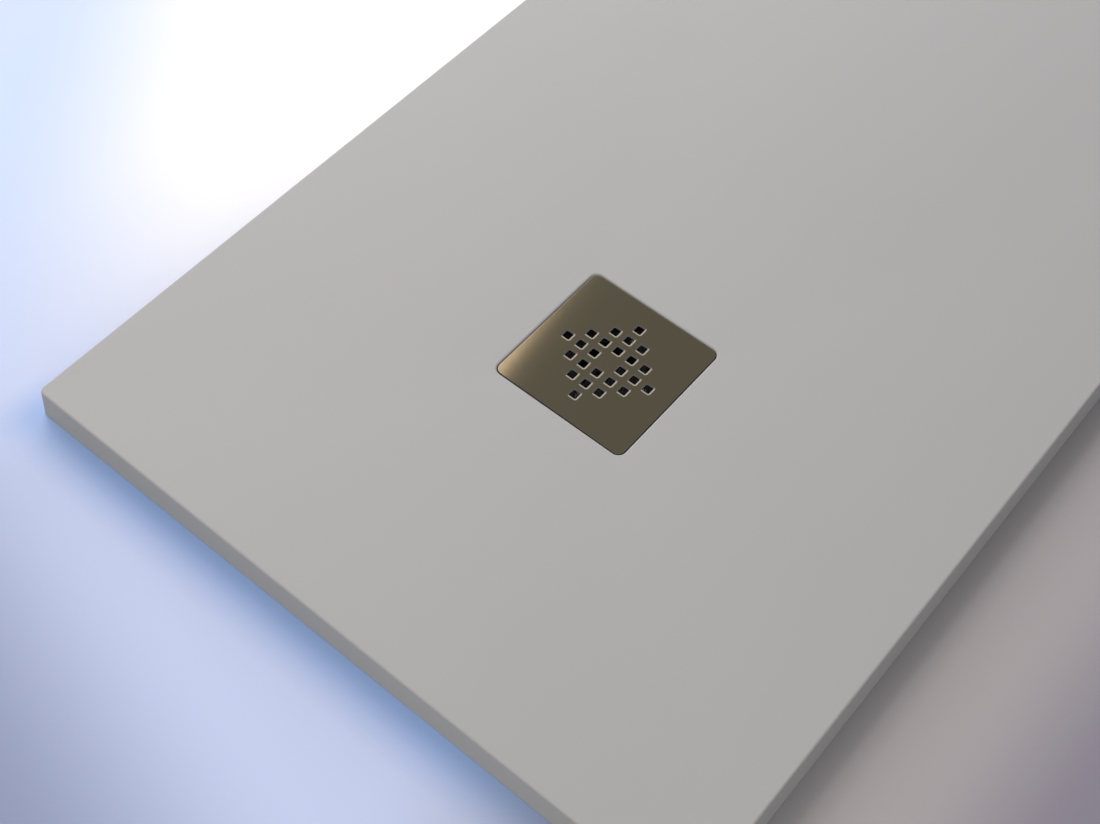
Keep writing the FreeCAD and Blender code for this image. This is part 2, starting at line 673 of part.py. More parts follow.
def trap_head():
    """Upper half of the trap: neck, clamp flange, shelf for the insert, skirt and side outlet."""
    envelope = [
        ("0", SKIRT_END),
        (BOWL_OUTSIDE, SKIRT_END),
        (BOWL_OUTSIDE, SHELF_TOP),
        (NECK, SHELF_TOP),
        (NECK, HEAD_UNDER),
        (HEAD_FLANGE, HEAD_UNDER),
        (HEAD_FLANGE, HEAD_TOP),
        (NECK, HEAD_TOP),
        (NECK, BOSS_TOP),
        ("0", BOSS_TOP),
    ]
    body = turned("trap_head", envelope, SKIRT_END)
    axis_height = f"{OUTLET_LEVEL} - {SKIRT_END}"
    spigot = new_sketch(body, "spigot_circle", "XZ_Plane")
    circle(spigot, SPIGOT, y=axis_height)
    pad(body, spigot, "spigot", SPIGOT_END, reverse=True)

    chamber = new_sketch(body, "chamber_profile", "XZ_Plane")
    cavity = [
        ("0", f"{SKIRT_END} - {OVERCUT}"),
        (BOWL_INSIDE, f"{SKIRT_END} - {OVERCUT}"),
        (BOWL_INSIDE, SHELF_UNDER),
        (SEAT_BORE, SHELF_UNDER),
        (SEAT_BORE, SHELF_TOP),
        (NECK_INSIDE, SHELF_TOP),
        (NECK_INSIDE, f"{BOSS_TOP} + {OVERCUT}"),
        ("0", f"{BOSS_TOP} + {OVERCUT}"),
    ]
    polygon(chamber, [(radius, f"{level} - {SKIRT_END}") for radius, level in cavity])
    revolve(body, chamber, "chamber", "Groove")

    bore = new_sketch(body, "outlet_circle", "XZ_Plane")
    circle(bore, "dim.outlet_bore", y=axis_height)
    cut(body, bore, "outlet_bore", SPIGOT_END, along_normal=False)

    boss = new_sketch(body, "boss_circle", offset=f"{SHELF_TOP} - {SKIRT_END}")
    circle(boss, BOSS, x=SCREW_CIRCLE)
    bosses = pad(body, boss, "boss", f"{BOSS_TOP} - {SHELF_TOP}")
    repeat_round(body, [bosses], "bosses", 4)
    hole = new_sketch(body, "insert_hole_circle", offset=f"{BOSS_TOP} - {SKIRT_END}")
    circle(hole, "dim.insert_radius + dim.ring_gap", x=SCREW_CIRCLE)
    holes = cut(body, hole, "insert_hole", "dim.screw_length", along_normal=False)
    repeat_round(body, [holes], "insert_holes", 4)
    return body


def bowl_seal():
    """Flat ring between the skirt of the head and the ledge of the bowl."""
    outer = f"{BOWL_OUTSIDE} - dim.thread_gap"
    return ring("bowl_seal", f"{BOWL_INSIDE} + dim.thread_gap", outer, BOWL_LEDGE, SKIRT_END)


def trap_bowl():
    """Lower half of the trap, which screws on from below and keeps the water."""
    points = [
        ("0", BOWL_UNDER),
        (BOWL_OUTSIDE, BOWL_UNDER),
        (BOWL_OUTSIDE, f"{BOWL_LEDGE} - dim.bowl_wall"),
        (COLLAR_OUTSIDE, f"{BOWL_LEDGE} - dim.bowl_wall"),
        (COLLAR_OUTSIDE, COLLAR_TOP),
        (COLLAR_INSIDE, COLLAR_TOP),
        (COLLAR_INSIDE, BOWL_LEDGE),
        (BOWL_INSIDE, BOWL_LEDGE),
        (BOWL_INSIDE, BOWL_FLOOR),
        ("0", BOWL_FLOOR),
    ]
    body = turned("trap_bowl", points, BOWL_UNDER)

    def under(edge):
        return level_edge(edge, 0)

    def on_floor(edge):
        return level_edge(edge, value("dim.bowl_wall"))

    round_edges(body, "bowl_outer_corner", "dim.bowl_corner", under)
    round_edges(body, "bowl_inner_corner", "dim.bowl_corner - dim.bowl_wall", on_floor)
    return body


def siphon_insert():
    """Dip tube with a head that lies on the shelf, a groove for its ring and a bar to pull it by."""
    groove_middle = f"({SHELF_TOP} - dim.shelf_thickness / 2)"
    groove_half = "(dim.seal_ring_section / 2 + dim.ring_gap)"
    groove_floor = f"{SEAT_BORE} - dim.seal_ring_section - 2 * dim.ring_gap"
    points = [
        (DIP_BORE, DIP_END),
        (DIP_TUBE, DIP_END),
        (DIP_TUBE, SHELF_UNDER),
        (PLUG, SHELF_UNDER),
        (PLUG, f"{groove_middle} - {groove_half}"),
        (groove_floor, f"{groove_middle} - {groove_half}"),
        (groove_floor, f"{groove_middle} + {groove_half}"),
        (PLUG, f"{groove_middle} + {groove_half}"),
        (PLUG, SHELF_TOP),
        (INSERT_HEAD, SHELF_TOP),
        (INSERT_HEAD, INSERT_TOP),
        (DIP_BORE, INSERT_TOP),
    ]
    body = turned("siphon_insert", points, DIP_END)
    bar = new_sketch(body, "pull_bar_outline", offset=f"{SHELF_TOP} - {DIP_END}")
    rectangle(bar, f"2 * {DIP_BORE} + dim.dip_wall", "dim.bar_width")
    pad(body, bar, "pull_bar", "dim.insert_head_thickness")
    return body


def insert_seal():
    """Rubber ring in the insert's groove, which seals it in the shelf."""
    seal = doc.addObject("Part::Torus", "insert_seal")
    seal.Label = "insert_seal"
    seal.setExpression("Radius1", f"{SEAT_BORE} - dim.ring_gap - dim.seal_ring_section / 2")
    seal.setExpression("Radius2", "dim.seal_ring_section / 2")
    return place(seal, "0", DRAIN_Y, f"{SHELF_TOP} - dim.shelf_thickness / 2")


def hair_basket():
    """Basket that hangs by its rim in the flange, slotted round its wall and drilled in its floor."""
    inside = f"({BASKET} - dim.basket_wall)"
    floor = f"{BASKET_UNDER} + dim.basket_wall"
    points = [
        ("0", BASKET_UNDER),
        (BASKET, BASKET_UNDER),
        (BASKET, RIM_SEAT),
        (BASKET_RIM, RIM_SEAT),
        (BASKET_RIM, RECESS_FLOOR),
        (inside, RECESS_FLOOR),
        (inside, floor),
        ("0", floor),
    ]
    body = turned("hair_basket", points, BASKET_UNDER)
    depth = f"({RIM_SEAT} - {BASKET_UNDER})"

    slot = new_sketch(body, "basket_slot_outline", "YZ_Plane")
    slot_height = f"({depth} - 4 * dim.basket_wall)"
    rectangle(slot, "dim.basket_slot", slot_height, y=f"{depth} / 2 + dim.basket_wall / 2")
    slots = cut(body, slot, "basket_slot", f"{BASKET} + {OVERCUT}")
    repeat_round(body, [slots], "basket_slots", BASKET_SLOTS)

    middle_hole = new_sketch(body, "basket_middle_hole")
    circle(middle_hole, "dim.basket_hole_radius")
    cut(body, middle_hole, "basket_middle_drain", "dim.basket_wall")
    for name, count in (("inner", BASKET_INNER_HOLES), ("outer", BASKET_OUTER_HOLES)):
        hole = new_sketch(body, f"basket_{name}_hole")
        circle(hole, "dim.basket_hole_radius", x=f"dim.basket_{name}_circle")
        holes = cut(body, hole, f"basket_{name}_drain", "dim.basket_wall")
        repeat_round(body, [holes], f"basket_{name}_drains", count)

    bar = new_sketch(body, "basket_bar_outline", offset=depth)
    rectangle(bar, f"2 * {inside} + dim.basket_wall", "dim.bar_width")
    pad(body, bar, "basket_bar", "dim.basket_rim_thickness")
    return body


# ---------------------------------------------------------------- outlet


def ribbed_nut(label, bore, hole, low, shoulder, high):
    """A hand nut about Z: open at low, with its end wall from shoulder to high, and grip ribs."""
    outside = f"({bore} + dim.nut_wall)"
    points = [
        (bore, low),
        (outside, low),
        (outside, high),
        (hole, high),
        (hole, shoulder),
        (bore, shoulder),
    ]
    body = turned(label, points, low)
    rib = new_sketch(body, f"{label}_rib_outline")
    reach = f"(dim.nut_rib + {RIB_ROOT})"
    rectangle(rib, reach, "dim.nut_rib_width", x=f"{outside} + dim.nut_rib - {reach} / 2")
    ribs = pad(body, rib, f"{label}_rib", f"{high} - {low}")
    repeat_round(body, [ribs], f"{label}_ribs", NUT_RIBS)
    return body


def outlet_seal():
    """Flat ring on the end of the spigot."""
    inner, outer = "dim.outlet_bore + dim.thread_gap", f"{SPIGOT} - dim.thread_gap"
    seal = ring("outlet_seal", inner, outer, SPIGOT_END, SEAL_END)
    return along_outlet(seal, SPIGOT_END)


def along_outlet(body, station):
    """Lay a body that was made about Z on the outlet's axis, its origin at a station of that axis."""
    turn(body, FreeCAD.Vector(1, 0, 0), -90)
    return place(body, "0", f"{DRAIN_Y} + {station}", OUTLET_LEVEL)


def outlet_nut():
    """Hand nut that holds the elbow's collar against the seal and lets it turn."""
    low = f"({SPIGOT_END} - dim.nut_grip)"
    high = f"({SHOULDER} + dim.nut_end_wall)"
    bore = f"({SPIGOT} + dim.thread_gap)"
    hole = f"({TAIL} + dim.running_gap)"
    nut = ribbed_nut("outlet_nut", bore, hole, low, SHOULDER, high)
    return along_outlet(nut, low)


def outlet_elbow():
    """Elbow whose collared tail turns in the nut, and whose leg ends in a socket for the waste pipe."""
    solids = [
        lying_cylinder("elbow_collar", f"{SPIGOT} - dim.thread_gap", TAIL_START, TAIL_COLLAR_END),
        lying_cylinder("elbow_tail", TAIL, TAIL_START, BEND_START),
        bend("elbow_bend", TAIL),
        leg("elbow_leg", TAIL, LEG_TOP, SOCKET_TOP),
        leg("elbow_socket", SOCKET, SOCKET_TOP, MOUTH),
        shoulder_cone("elbow_shoulder"),
    ]
    hollows = [
        lying_cylinder("elbow_tail_bore", "dim.outlet_bore", TAIL_START, BEND_START),
        bend("elbow_bend_bore", "dim.outlet_bore"),
        leg("elbow_leg_bore", "dim.outlet_bore", LEG_TOP, SOCKET_TOP),
        leg("elbow_pipe_bore", PIPE_BORE, SOCKET_TOP, MOUTH),
    ]
    elbow = subtract("outlet_elbow", fuse("elbow_outside", solids), fuse("elbow_inside", hollows))
    elbow.Label = "outlet_elbow"
    return elbow


def lying_cylinder(name, radius, start, end):
    """A cylinder on the outlet's axis between two of its stations."""
    piece = cylinder(name, radius, f"{end} - {start}")
    turn(piece, FreeCAD.Vector(1, 0, 0), -90)
    return place(piece, "0", f"{DRAIN_Y} + {start}", OUTLET_LEVEL)


def bend(name, radius):
    """A quarter of a torus, from the outlet's axis down to the leg."""
    piece = doc.addObject("Part::Torus", name)
    piece.setExpression("Radius1", "dim.bend_radius")
    piece.setExpression("Radius2", radius)
    piece.Angle3 = 90
    turn(piece, FreeCAD.Vector(0, 1, 0), -90)
    return place(piece, "0", f"{DRAIN_Y} + {BEND_START}", LEG_TOP)


def leg(name, radius, top, bottom):
    """A cylinder on the leg's upright axis."""
    return cylinder(name, radius, f"{top} - {bottom}", y=f"{DRAIN_Y} + {LEG_STATION}", z=bottom)


def shoulder_cone(name):
    """The widening from the leg to the socket."""
    y = f"{DRAIN_Y} + {LEG_STATION}"
    return cone(name, SOCKET, TAIL, "dim.socket_step", y=y, z=SOCKET_TOP)


def pipe_seal():
    """Rubber ring between the mouth of the socket and the end wall of the pipe nut."""
    inner, outer = f"{PIPE_BORE} + dim.ring_gap", f"{SOCKET} - dim.thread_gap"
    seal = ring("pipe_seal", inner, outer, PIPE_SEAL_END, MOUTH)
    return place(seal, "0", f"{DRAIN_Y} + {LEG_STATION}", PIPE_SEAL_END)


def pipe_nut():
    """Hand nut that squeezes the seal on the waste pipe."""
    grip = f"({MOUTH} + dim.nut_grip)"
    bore = f"({SOCKET} + dim.thread_gap)"
    hole = f"({PIPE_BORE} + dim.thread_gap)"
    height = f"({grip} - {PIPE_NUT_END})"
    nut = ribbed_nut("pipe_nut", bore, hole, "0", f"({height} - dim.nut_end_wall)", height)
    turn(nut, FreeCAD.Vector(1, 0, 0), 180)
    return place(nut, "0", f"{DRAIN_Y} + {LEG_STATION}", grip)


SUB_PARTS = (
    tray_slab,
    grate_plate,
    grate_studs,
    grate_feet,
    waste_flange,
    flange_gasket,
    clamp_screws,
    screw_inserts,
    neck_gasket,
    trap_head,
    bowl_seal,
    trap_bowl,
    siphon_insert,
    insert_seal,
    hair_basket,
    outlet_seal,
    outlet_nut,
    outlet_elbow,
    pipe_seal,
    pipe_nut,
)


def check(pieces):
    """Stop on any failed object, and on any sub-part without a sound shape."""
    for item in doc.Objects:
        if "Invalid" in item.State or "Error" in item.State:
            raise RuntimeError(f"{item.Name} failed: {item.State}")
    for piece in pieces:
        if piece.Shape.isNull() or not piece.Shape.isValid() or not piece.Shape.Solids:
            raise RuntimeError(f"{piece.Label} has no sound solid")


def main():
    """Build every sub-part, check it and write its STEP file."""
    fill_sheet()
    pieces = [make() for make in SUB_PARTS]
    doc.recompute()
    check(pieces)
    os.makedirs("parts", exist_ok=True)
    for piece in pieces:
        piece.Shape.exportStep(f"parts/{piece.Label}.step")
        print(piece.Label, len(piece.Shape.Solids), round(piece.Shape.Volume))


main()
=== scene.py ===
"""Low shower tray with a perforated bronze grate, dressed for soft daylight.

Everything is in metres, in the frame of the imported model: +Z is up, +X runs across the tray and +Y along it,
away from the drain's end. The origin is the middle of the slab's underside.
"""
import logging
import math
from dataclasses import astuple, dataclass, replace
from enum import Enum
from typing import Any, Iterable, Self, Sequence

import bpy
from mathutils import Matrix, Vector


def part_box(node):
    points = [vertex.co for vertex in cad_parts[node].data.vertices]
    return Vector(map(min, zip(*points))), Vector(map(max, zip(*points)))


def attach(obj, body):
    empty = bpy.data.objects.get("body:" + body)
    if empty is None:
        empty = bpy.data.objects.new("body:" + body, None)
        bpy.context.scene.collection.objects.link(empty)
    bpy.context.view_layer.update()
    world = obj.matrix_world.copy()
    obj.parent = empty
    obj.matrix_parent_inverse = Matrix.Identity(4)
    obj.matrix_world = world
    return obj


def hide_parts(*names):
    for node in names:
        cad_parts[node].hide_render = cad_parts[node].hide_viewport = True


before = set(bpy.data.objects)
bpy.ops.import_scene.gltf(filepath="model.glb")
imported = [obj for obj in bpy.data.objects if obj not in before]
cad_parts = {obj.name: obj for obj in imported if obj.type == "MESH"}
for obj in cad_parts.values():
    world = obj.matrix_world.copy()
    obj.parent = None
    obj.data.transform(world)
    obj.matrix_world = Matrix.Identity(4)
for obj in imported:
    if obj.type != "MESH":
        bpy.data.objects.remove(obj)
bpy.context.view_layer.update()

LOG = logging.getLogger("shower_tray")
MM = 0.001
QUARTER = math.radians(90)
CORNER_SIGNS = ((1, 1), (-1, 1), (-1, -1), (1, -1))  # of X and Y, anticlockwise from above

Colour = tuple[float, float, float]
Point = tuple[float, float, float]
Face = tuple[int, ...]
Step = tuple[float, float]  # how far a loop is set in, and its level
Socket = bpy.types.NodeSocket
Sockets = bpy.types.bpy_prop_collection


class Body(Enum):
    """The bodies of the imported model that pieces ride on."""

    TRAY = "tray"
    GRATE = "grate"


class Slot(Enum):
    """The record's material slots."""

    RESIN = "slab_resin"
    BRONZE = "grate_metal"
    STAINLESS = "stainless"
    BRASS = "insert_brass"
    RUBBER = "rubber"
    FLANGE = "flange_plastic"
    TRAP = "trap_plastic"
    INSERT = "insert_plastic"
    NUT = "nut_plastic"


# ---- node trees


class NodeGraph:
    """A thin wrapper that keeps node code short."""

    def __init__(self, tree: bpy.types.NodeTree) -> None:
        """Wrap a shader or geometry node tree."""
        self.tree = tree

    def interface(self, inputs: dict[str, str], outputs: dict[str, str]) -> tuple[Sockets, bpy.types.Node]:
        """Declare what goes into the tree and what comes out of it.

        Args:
            inputs: The kind of each input, by name.
            outputs: The kind of each output, by name.

        Returns:
            The sockets that bring the inputs in, and the node that takes the outputs.
        """
        for in_out, kinds in (("INPUT", inputs), ("OUTPUT", outputs)):
            for name, kind in kinds.items():
                self.tree.interface.new_socket(name, in_out=in_out, socket_type=f"NodeSocket{kind}")
        return self.add("NodeGroupInput").outputs, self.add("NodeGroupOutput")

    def feed(self, target: Socket, value: Any) -> None:
        """Give an input a link or a constant.

        Args:
            target: The input to fill.
            value: Another socket, or a number, colour or vector.
        """
        if isinstance(value, Socket):
            self.tree.links.new(value, target)
        elif target.type == "RGBA":
            target.default_value = (*value, 1.0)
        else:
            target.default_value = value

    def add(self, kind: str, inputs: dict[str | int, Any] | None = None, **settings: Any) -> bpy.types.Node:
        """Add a node.

        Args:
            kind: The node's type name.
            inputs: A socket or a constant for each input that doesn't keep its default.
            settings: Values for the node's own properties.

        Returns:
            The new node.
        """
        node = self.tree.nodes.new(kind)
        for name, value in settings.items():
            setattr(node, name, value)
        for name, value in (inputs or {}).items():
            self.feed(node.inputs[name], value)
        return node

    def math(self, operation: str, *values: Any) -> Socket:
        """The result of a Math node, whose values are sockets or numbers."""
        return self.add("ShaderNodeMath", dict(enumerate(values)), operation=operation).outputs[0]

    def split(self, vector: Socket) -> Sockets:
        """The X, Y and Z of a vector."""
        return self.add("ShaderNodeSeparateXYZ", {0: vector}).outputs

    def noise(self, place: Socket, scale: Any, detail: float, roughness: float) -> Socket:
        """A solid noise from 0 to 1."""
        inputs = {"Vector": place, "Scale": scale, "Detail": detail, "Roughness": roughness}
        return self.add("ShaderNodeTexNoise", inputs).outputs[0]

    def ramp(self, value: Socket, start: float, end: float, low: float = 0.0, high: float = 1.0) -> Socket:
        """Map the range from start to end on the one from low to high, and stay inside it."""
        inputs = {"Value": value, "From Min": start, "From Max": end, "To Min": low, "To Max": high}
        return self.add("ShaderNodeMapRange", inputs).outputs[0]

    def soft_step(self, value: Socket, start: float, end: float) -> Socket:
        """A soft step from 0 at the start to 1 at the end."""
        inputs = {"Value": value, "From Min": start, "From Max": end}
        return self.add("ShaderNodeMapRange", inputs, interpolation_type="SMOOTHSTEP").outputs[0]

    def mix(self, share: Socket, first: Socket | Colour, second: Socket | Colour) -> Socket:
        """Mix two colours, by the share of the second."""
        inputs = {"Factor": share, "A": first, "B": second}
        return self.add("ShaderNodeMix", inputs, data_type="RGBA").outputs["Result"]

    def seen_itself(self) -> Socket:
        """A mask of the rays that show a thing, straight or mirrored, and not just its light.

        Returns:
            The mask's socket.
        """
        path = self.add("ShaderNodeLightPath").outputs
        seen = self.math("MAXIMUM", path["Is Camera Ray"], path["Is Glossy Ray"])
        return self.math("MAXIMUM", seen, path["Is Transmission Ray"])


def grain_group() -> bpy.types.NodeTree:
    """Make the effect of a fine moulded or cast skin.

    Returns:
        A shader node group that gives a height and a tint mask from a place on the piece.
    """
    graph = NodeGraph(bpy.data.node_groups.new("fine_grain", "ShaderNodeTree"))
    entry, leave = graph.interface(
        {"Vector": "Vector", "Grain Size": "Float", "Patch Size": "Float"},
        {"Height": "Float", "Tint": "Float"},
    )
    layers = (("Grain Size", "Height", 3.0, 0.6), ("Patch Size", "Tint", 2.0, 0.5))
    for size, result, detail, roughness in layers:
        scale = graph.math("DIVIDE", 1.0, entry[size])
        graph.feed(leave.inputs[result], graph.noise(entry["Vector"], scale, detail, roughness))
    return graph.tree


def brushing_group() -> bpy.types.NodeTree:
    """Make the effect of straight brushing along X.

    Returns:
        A shader node group that gives the streaks' height from a place on the piece.
    """
    graph = NodeGraph(bpy.data.node_groups.new("brushing", "ShaderNodeTree"))
    entry, leave = graph.interface(
        {"Vector": "Vector", "Streak Width": "Float", "Streak Length": "Float"},
        {"Streaks": "Float"},
    )
    place = graph.split(entry["Vector"])
    sizes = {"X": "Streak Length", "Y": "Streak Width", "Z": "Streak Width"}
    scaled = {axis: graph.math("DIVIDE", place[axis], entry[size]) for axis, size in sizes.items()}
    stretched = graph.add("ShaderNodeCombineXYZ", scaled).outputs[0]
    graph.feed(leave.inputs["Streaks"], graph.noise(stretched, scale=1.0, detail=4.0, roughness=0.65))
    return graph.tree


class Effects:
    """The shader node groups that several finishes share."""

    def __init__(self) -> None:
        """Build each group once."""
        self.grain = grain_group()
        self.brushing = brushing_group()


def shades(colour: Colour, share: float) -> tuple[Colour, Colour]:
    """A darker and a lighter shade of a colour, each a share of it away."""
    dark, light = (tuple(channel * factor for channel in colour) for factor in (1 - share, 1 + share))
    return dark, light


class SurfaceMaterial:
    """A material in the making: its graph, its Principled shader and the piece's own coordinates."""

    def __init__(self, name: str) -> None:
        """Start a material.

        Args:
            name: The material's name.
        """
        self.material = bpy.data.materials.new(name)
        self.material.use_nodes = True
        self.graph = NodeGraph(self.material.node_tree)
        self.graph.tree.nodes.clear()
        self.shader = self.graph.add("ShaderNodeBsdfPrincipled")
        self.graph.add("ShaderNodeOutputMaterial", {"Surface": self.shader.outputs[0]})
        self.place = self.graph.add("ShaderNodeTexCoord").outputs["Object"]

    def finished(self, inputs: dict[str, Any]) -> bpy.types.Material:
        """Fill the Principled shader's inputs.

        Args:
            inputs: A socket or a constant for each, by name.

        Returns:
            The finished material.
        """
        for name, value in inputs.items():
            self.graph.feed(self.shader.inputs[name], value)
        return self.material

    def effect(self, group: bpy.types.NodeTree, sizes: dict[str, float]) -> Sockets:
        """Place a shared effect, with its sizes by name, and give its outputs."""
        return self.graph.add("ShaderNodeGroup", {"Vector": self.place, **sizes}, node_tree=group).outputs

    def varied(self, mask: Socket, middle: float, spread: float) -> Socket:
        """A value that a mask moves from a spread below its middle to a spread above it."""
        return self.graph.ramp(mask, 0.0, 1.0, middle - spread, middle + spread)

    def bump(self, height: Socket, depth: float, under: Socket | None = None) -> Socket:
        """Add relief.

        Args:
            height: The relief from 0 to 1.
            depth: Its depth in metres.
            under: Another relief's normal that this one adds to.

        Returns:
            The normal's socket.
        """
        node = self.graph.add("ShaderNodeBump", {"Distance": depth, "Height": height})
        if under is not None:
            self.graph.feed(node.inputs["Normal"], under)
        return node.outputs[0]


@dataclass(frozen=True)
class MouldedFinish:
    """A moulded plastic or rubber skin with a fine grain."""

    name: str
    colour: Colour
    roughness: float
    grain_size: float
    grain_depth: float
    roughness_spread: float = 0.05
    mottle: float = 0.08
    patch_size: float = 30 * MM

    def material(self, effects: Effects) -> bpy.types.Material:
        """Build the material.

        Args:
            effects: The shared effects.

        Returns:
            The finished material.
        """
        made = SurfaceMaterial(self.name)
        grain = made.effect(effects.grain, {"Grain Size": self.grain_size, "Patch Size": self.patch_size})
        inputs = {
            "Base Color": made.graph.mix(grain["Tint"], *shades(self.colour, self.mottle)),
            "Roughness": made.varied(grain["Tint"], self.roughness, self.roughness_spread),
            "Normal": made.bump(grain["Height"], self.grain_depth),
        }
        return made.finished(inputs)


@dataclass(frozen=True)
class BrushedFinish:
    """A metal brushed along one line."""

    name: str
    colour: Colour
    roughness: float
    streak_length: float
    streak_width: float = 0.2 * MM
    streak_depth: float = 0.01 * MM
    roughness_spread: float = 0.05
    mottle: float = 0.04
    # painted highlight: a lighter, more neutral tone on every face that leans away from the flat, standing in
    # for the rims' bright highlight
    painted_rim_highlight: Colour | None = None
    edge_from: float = 0.995  # the upward part of the normal where the lighter edge tone, a painted rim highlight, starts
    edge_to: float = 0.965  # where it is full

    def material(self, effects: Effects) -> bpy.types.Material:
        """Build the material.

        Args:
            effects: The shared effects.

        Returns:
            The finished material.
        """
        made = SurfaceMaterial(self.name)
        sizes = {"Streak Width": self.streak_width, "Streak Length": self.streak_length}
        streaks = made.effect(effects.brushing, sizes)["Streaks"]
        colour = made.graph.mix(streaks, *shades(self.colour, self.mottle))
        # painted highlight: the leaning edges get the lighter rim tone
        if self.painted_rim_highlight is not None:
            colour = made.graph.mix(self.edges(made.graph), colour, self.painted_rim_highlight)
        inputs = {
            "Base Color": colour,
            "Metallic": 1.0,
            "Roughness": made.varied(streaks, self.roughness, self.roughness_spread),
            "Normal": made.bump(streaks, self.streak_depth),
        }
        return made.finished(inputs)

    def edges(self, graph: NodeGraph) -> Socket:
        """A mask of the rolled and punched edges, which lean away from the flat, where the painted rim
        highlight goes.
        """
        normal = graph.split(graph.add("ShaderNodeTexCoord").outputs["Normal"])
        return graph.ramp(normal["Z"], self.edge_from, self.edge_to)


@dataclass(frozen=True)
class CastResinFinish:
    """The slab's stone resin: a matt gel coat on the face and sides, and a rough cast underside."""

    name: str = "stone_resin"
    colour: Colour = (0.375, 0.376, 0.379)
    back_colour: Colour = (0.40, 0.39, 0.37)
    roughness: float = 0.52
    back_roughness: float = 0.9
    grain_size: float = 0.7 * MM
    grain_depth: float = 0.02 * MM
    patch_size: float = 160 * MM
    peel_size: float = 6 * MM
    peel_depth: float = 0.015 * MM
    pit_size: float = 5 * MM
    pit_depth: float = 0.6 * MM
    mottle: float = 0.012
    back_mottle: float = 0.12
    back_from: float = -0.5  # a face whose normal points further down than this is on the underside

    def material(self, effects: Effects) -> bpy.types.Material:
        """Build the material.

        Args:
            effects: The shared effects.

        Returns:
            The finished material.
        """
        made = SurfaceMaterial(self.name)
        graph = made.graph
        grain = made.effect(effects.grain, {"Grain Size": self.grain_size, "Patch Size": self.patch_size})
        peel = made.effect(effects.grain, {"Grain Size": self.peel_size, "Patch Size": self.patch_size})
        spacing = {"Vector": made.place, "Scale": 1 / self.pit_size}
        pits = graph.add("ShaderNodeTexVoronoi", spacing, feature="SMOOTH_F1").outputs["Distance"]
        normal = graph.split(graph.add("ShaderNodeNewGeometry").outputs["Normal"])
        below = graph.math("LESS_THAN", normal["Z"], self.back_from)

        face = graph.mix(grain["Tint"], *shades(self.colour, self.mottle))
        back = graph.mix(pits, *shades(self.back_colour, self.back_mottle))
        skin_relief = made.bump(peel["Height"], self.peel_depth)
        skin_relief = made.bump(grain["Height"], self.grain_depth, skin_relief)
        inputs = {
            "Base Color": graph.mix(below, face, back),
            "Roughness": graph.ramp(below, 0.0, 1.0, self.roughness, self.back_roughness),
            "Normal": made.bump(graph.math("MULTIPLY", pits, below), self.pit_depth, skin_relief),
        }
        return made.finished(inputs)


FINISHES = {
    Slot.RESIN: CastResinFinish(),
    Slot.BRONZE: BrushedFinish(
        name="dark_bronze",
        colour=(0.098, 0.084, 0.0525),
        roughness=0.06,
        streak_length=40 * MM,
        streak_width=0.15 * MM,
        streak_depth=0.002 * MM,
        roughness_spread=0.01,
        # painted highlight on the hole rims, hole walls and the plate's edge
        painted_rim_highlight=(0.106, 0.095, 0.079),
    ),
    Slot.STAINLESS: BrushedFinish("plain_stainless", (0.60, 0.60, 0.58), 0.28, 6 * MM),
    Slot.BRASS: BrushedFinish("turned_brass", (0.72, 0.53, 0.25), 0.3, 3 * MM),
    Slot.RUBBER: MouldedFinish("black_rubber", (0.022, 0.022, 0.023), 0.72, 0.25 * MM, 0.02 * MM),
    Slot.FLANGE: MouldedFinish("flange_moulding", (0.009, 0.008, 0.008), 0.7, 0.4 * MM, 0.02 * MM),
    Slot.TRAP: MouldedFinish("trap_moulding", (0.095, 0.097, 0.10), 0.46, 0.5 * MM, 0.03 * MM),
    Slot.INSERT: MouldedFinish("insert_moulding", (0.010, 0.010, 0.010), 0.65, 0.4 * MM, 0.02 * MM),
    Slot.NUT: MouldedFinish("nut_moulding", (0.04, 0.04, 0.042), 0.55, 0.5 * MM, 0.04 * MM),
}


class Wardrobe:
    """Every finish as a material."""

    def __init__(self) -> None:
        """Make each slot's material."""
        effects = Effects()
        self.materials = {slot: finish.material(effects) for slot, finish in FINISHES.items()}

    def dress(self, slot: Slot, *nodes: str) -> None:
        """Give kept CAD nodes their material.

        Args:
            slot: The record's material slot.
            nodes: The nodes' names.
        """
        for node in nodes:
            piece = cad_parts[node]
            for holder in piece.material_slots:
                holder.material = self.materials[slot]
            LOG.info("dressed %s in %s", node, slot.value)


# ---- meshes


@dataclass
class Surface:
    """Points and faces of a piece in the making."""

    points: list[Point]
    faces: list[Face]

    def mesh(self, name: str) -> bpy.types.Mesh:
        """Turn the surface into a mesh of that name.

        Args:
            name: The mesh's name.

        Returns:
            The mesh.
        """
        mesh = bpy.data.meshes.new(name)
        mesh.from_pydata(self.points, [], self.faces)
        mesh.validate()
        return mesh


def smooth(mesh: bpy.types.Mesh, sharp_from: float) -> None:
    """Shade a mesh smooth, but for edges that turn by more than so many degrees."""
    mesh.shade_smooth()
    mesh.set_sharp_from_angle(angle=math.radians(sharp_from))


def new_object(name: str, data: bpy.types.ID) -> bpy.types.Object:
    """Put an object in the scene at the origin.

    Args:
        name: The object's name.
        data: Its mesh, light or camera.

    Returns:
        The object.
    """
    piece = bpy.data.objects.new(name, data)
    bpy.context.scene.collection.objects.link(piece)
    return piece


def arc(start: float, end: float, steps: int) -> list[float]:
    """Angles in even steps from one to another, with both ends."""
    return [start + (end - start) * step / steps for step in range(steps + 1)]


def bend(centre: Step, radius: float, start: float, end: float, steps: int) -> list[Step]:
    """A rounding about a centre, by its angles upwards from straight out."""
    inset, level = centre
    turns = arc(start, end, steps)
    return [(inset - radius * math.cos(turn), level + radius * math.sin(turn)) for turn in turns]


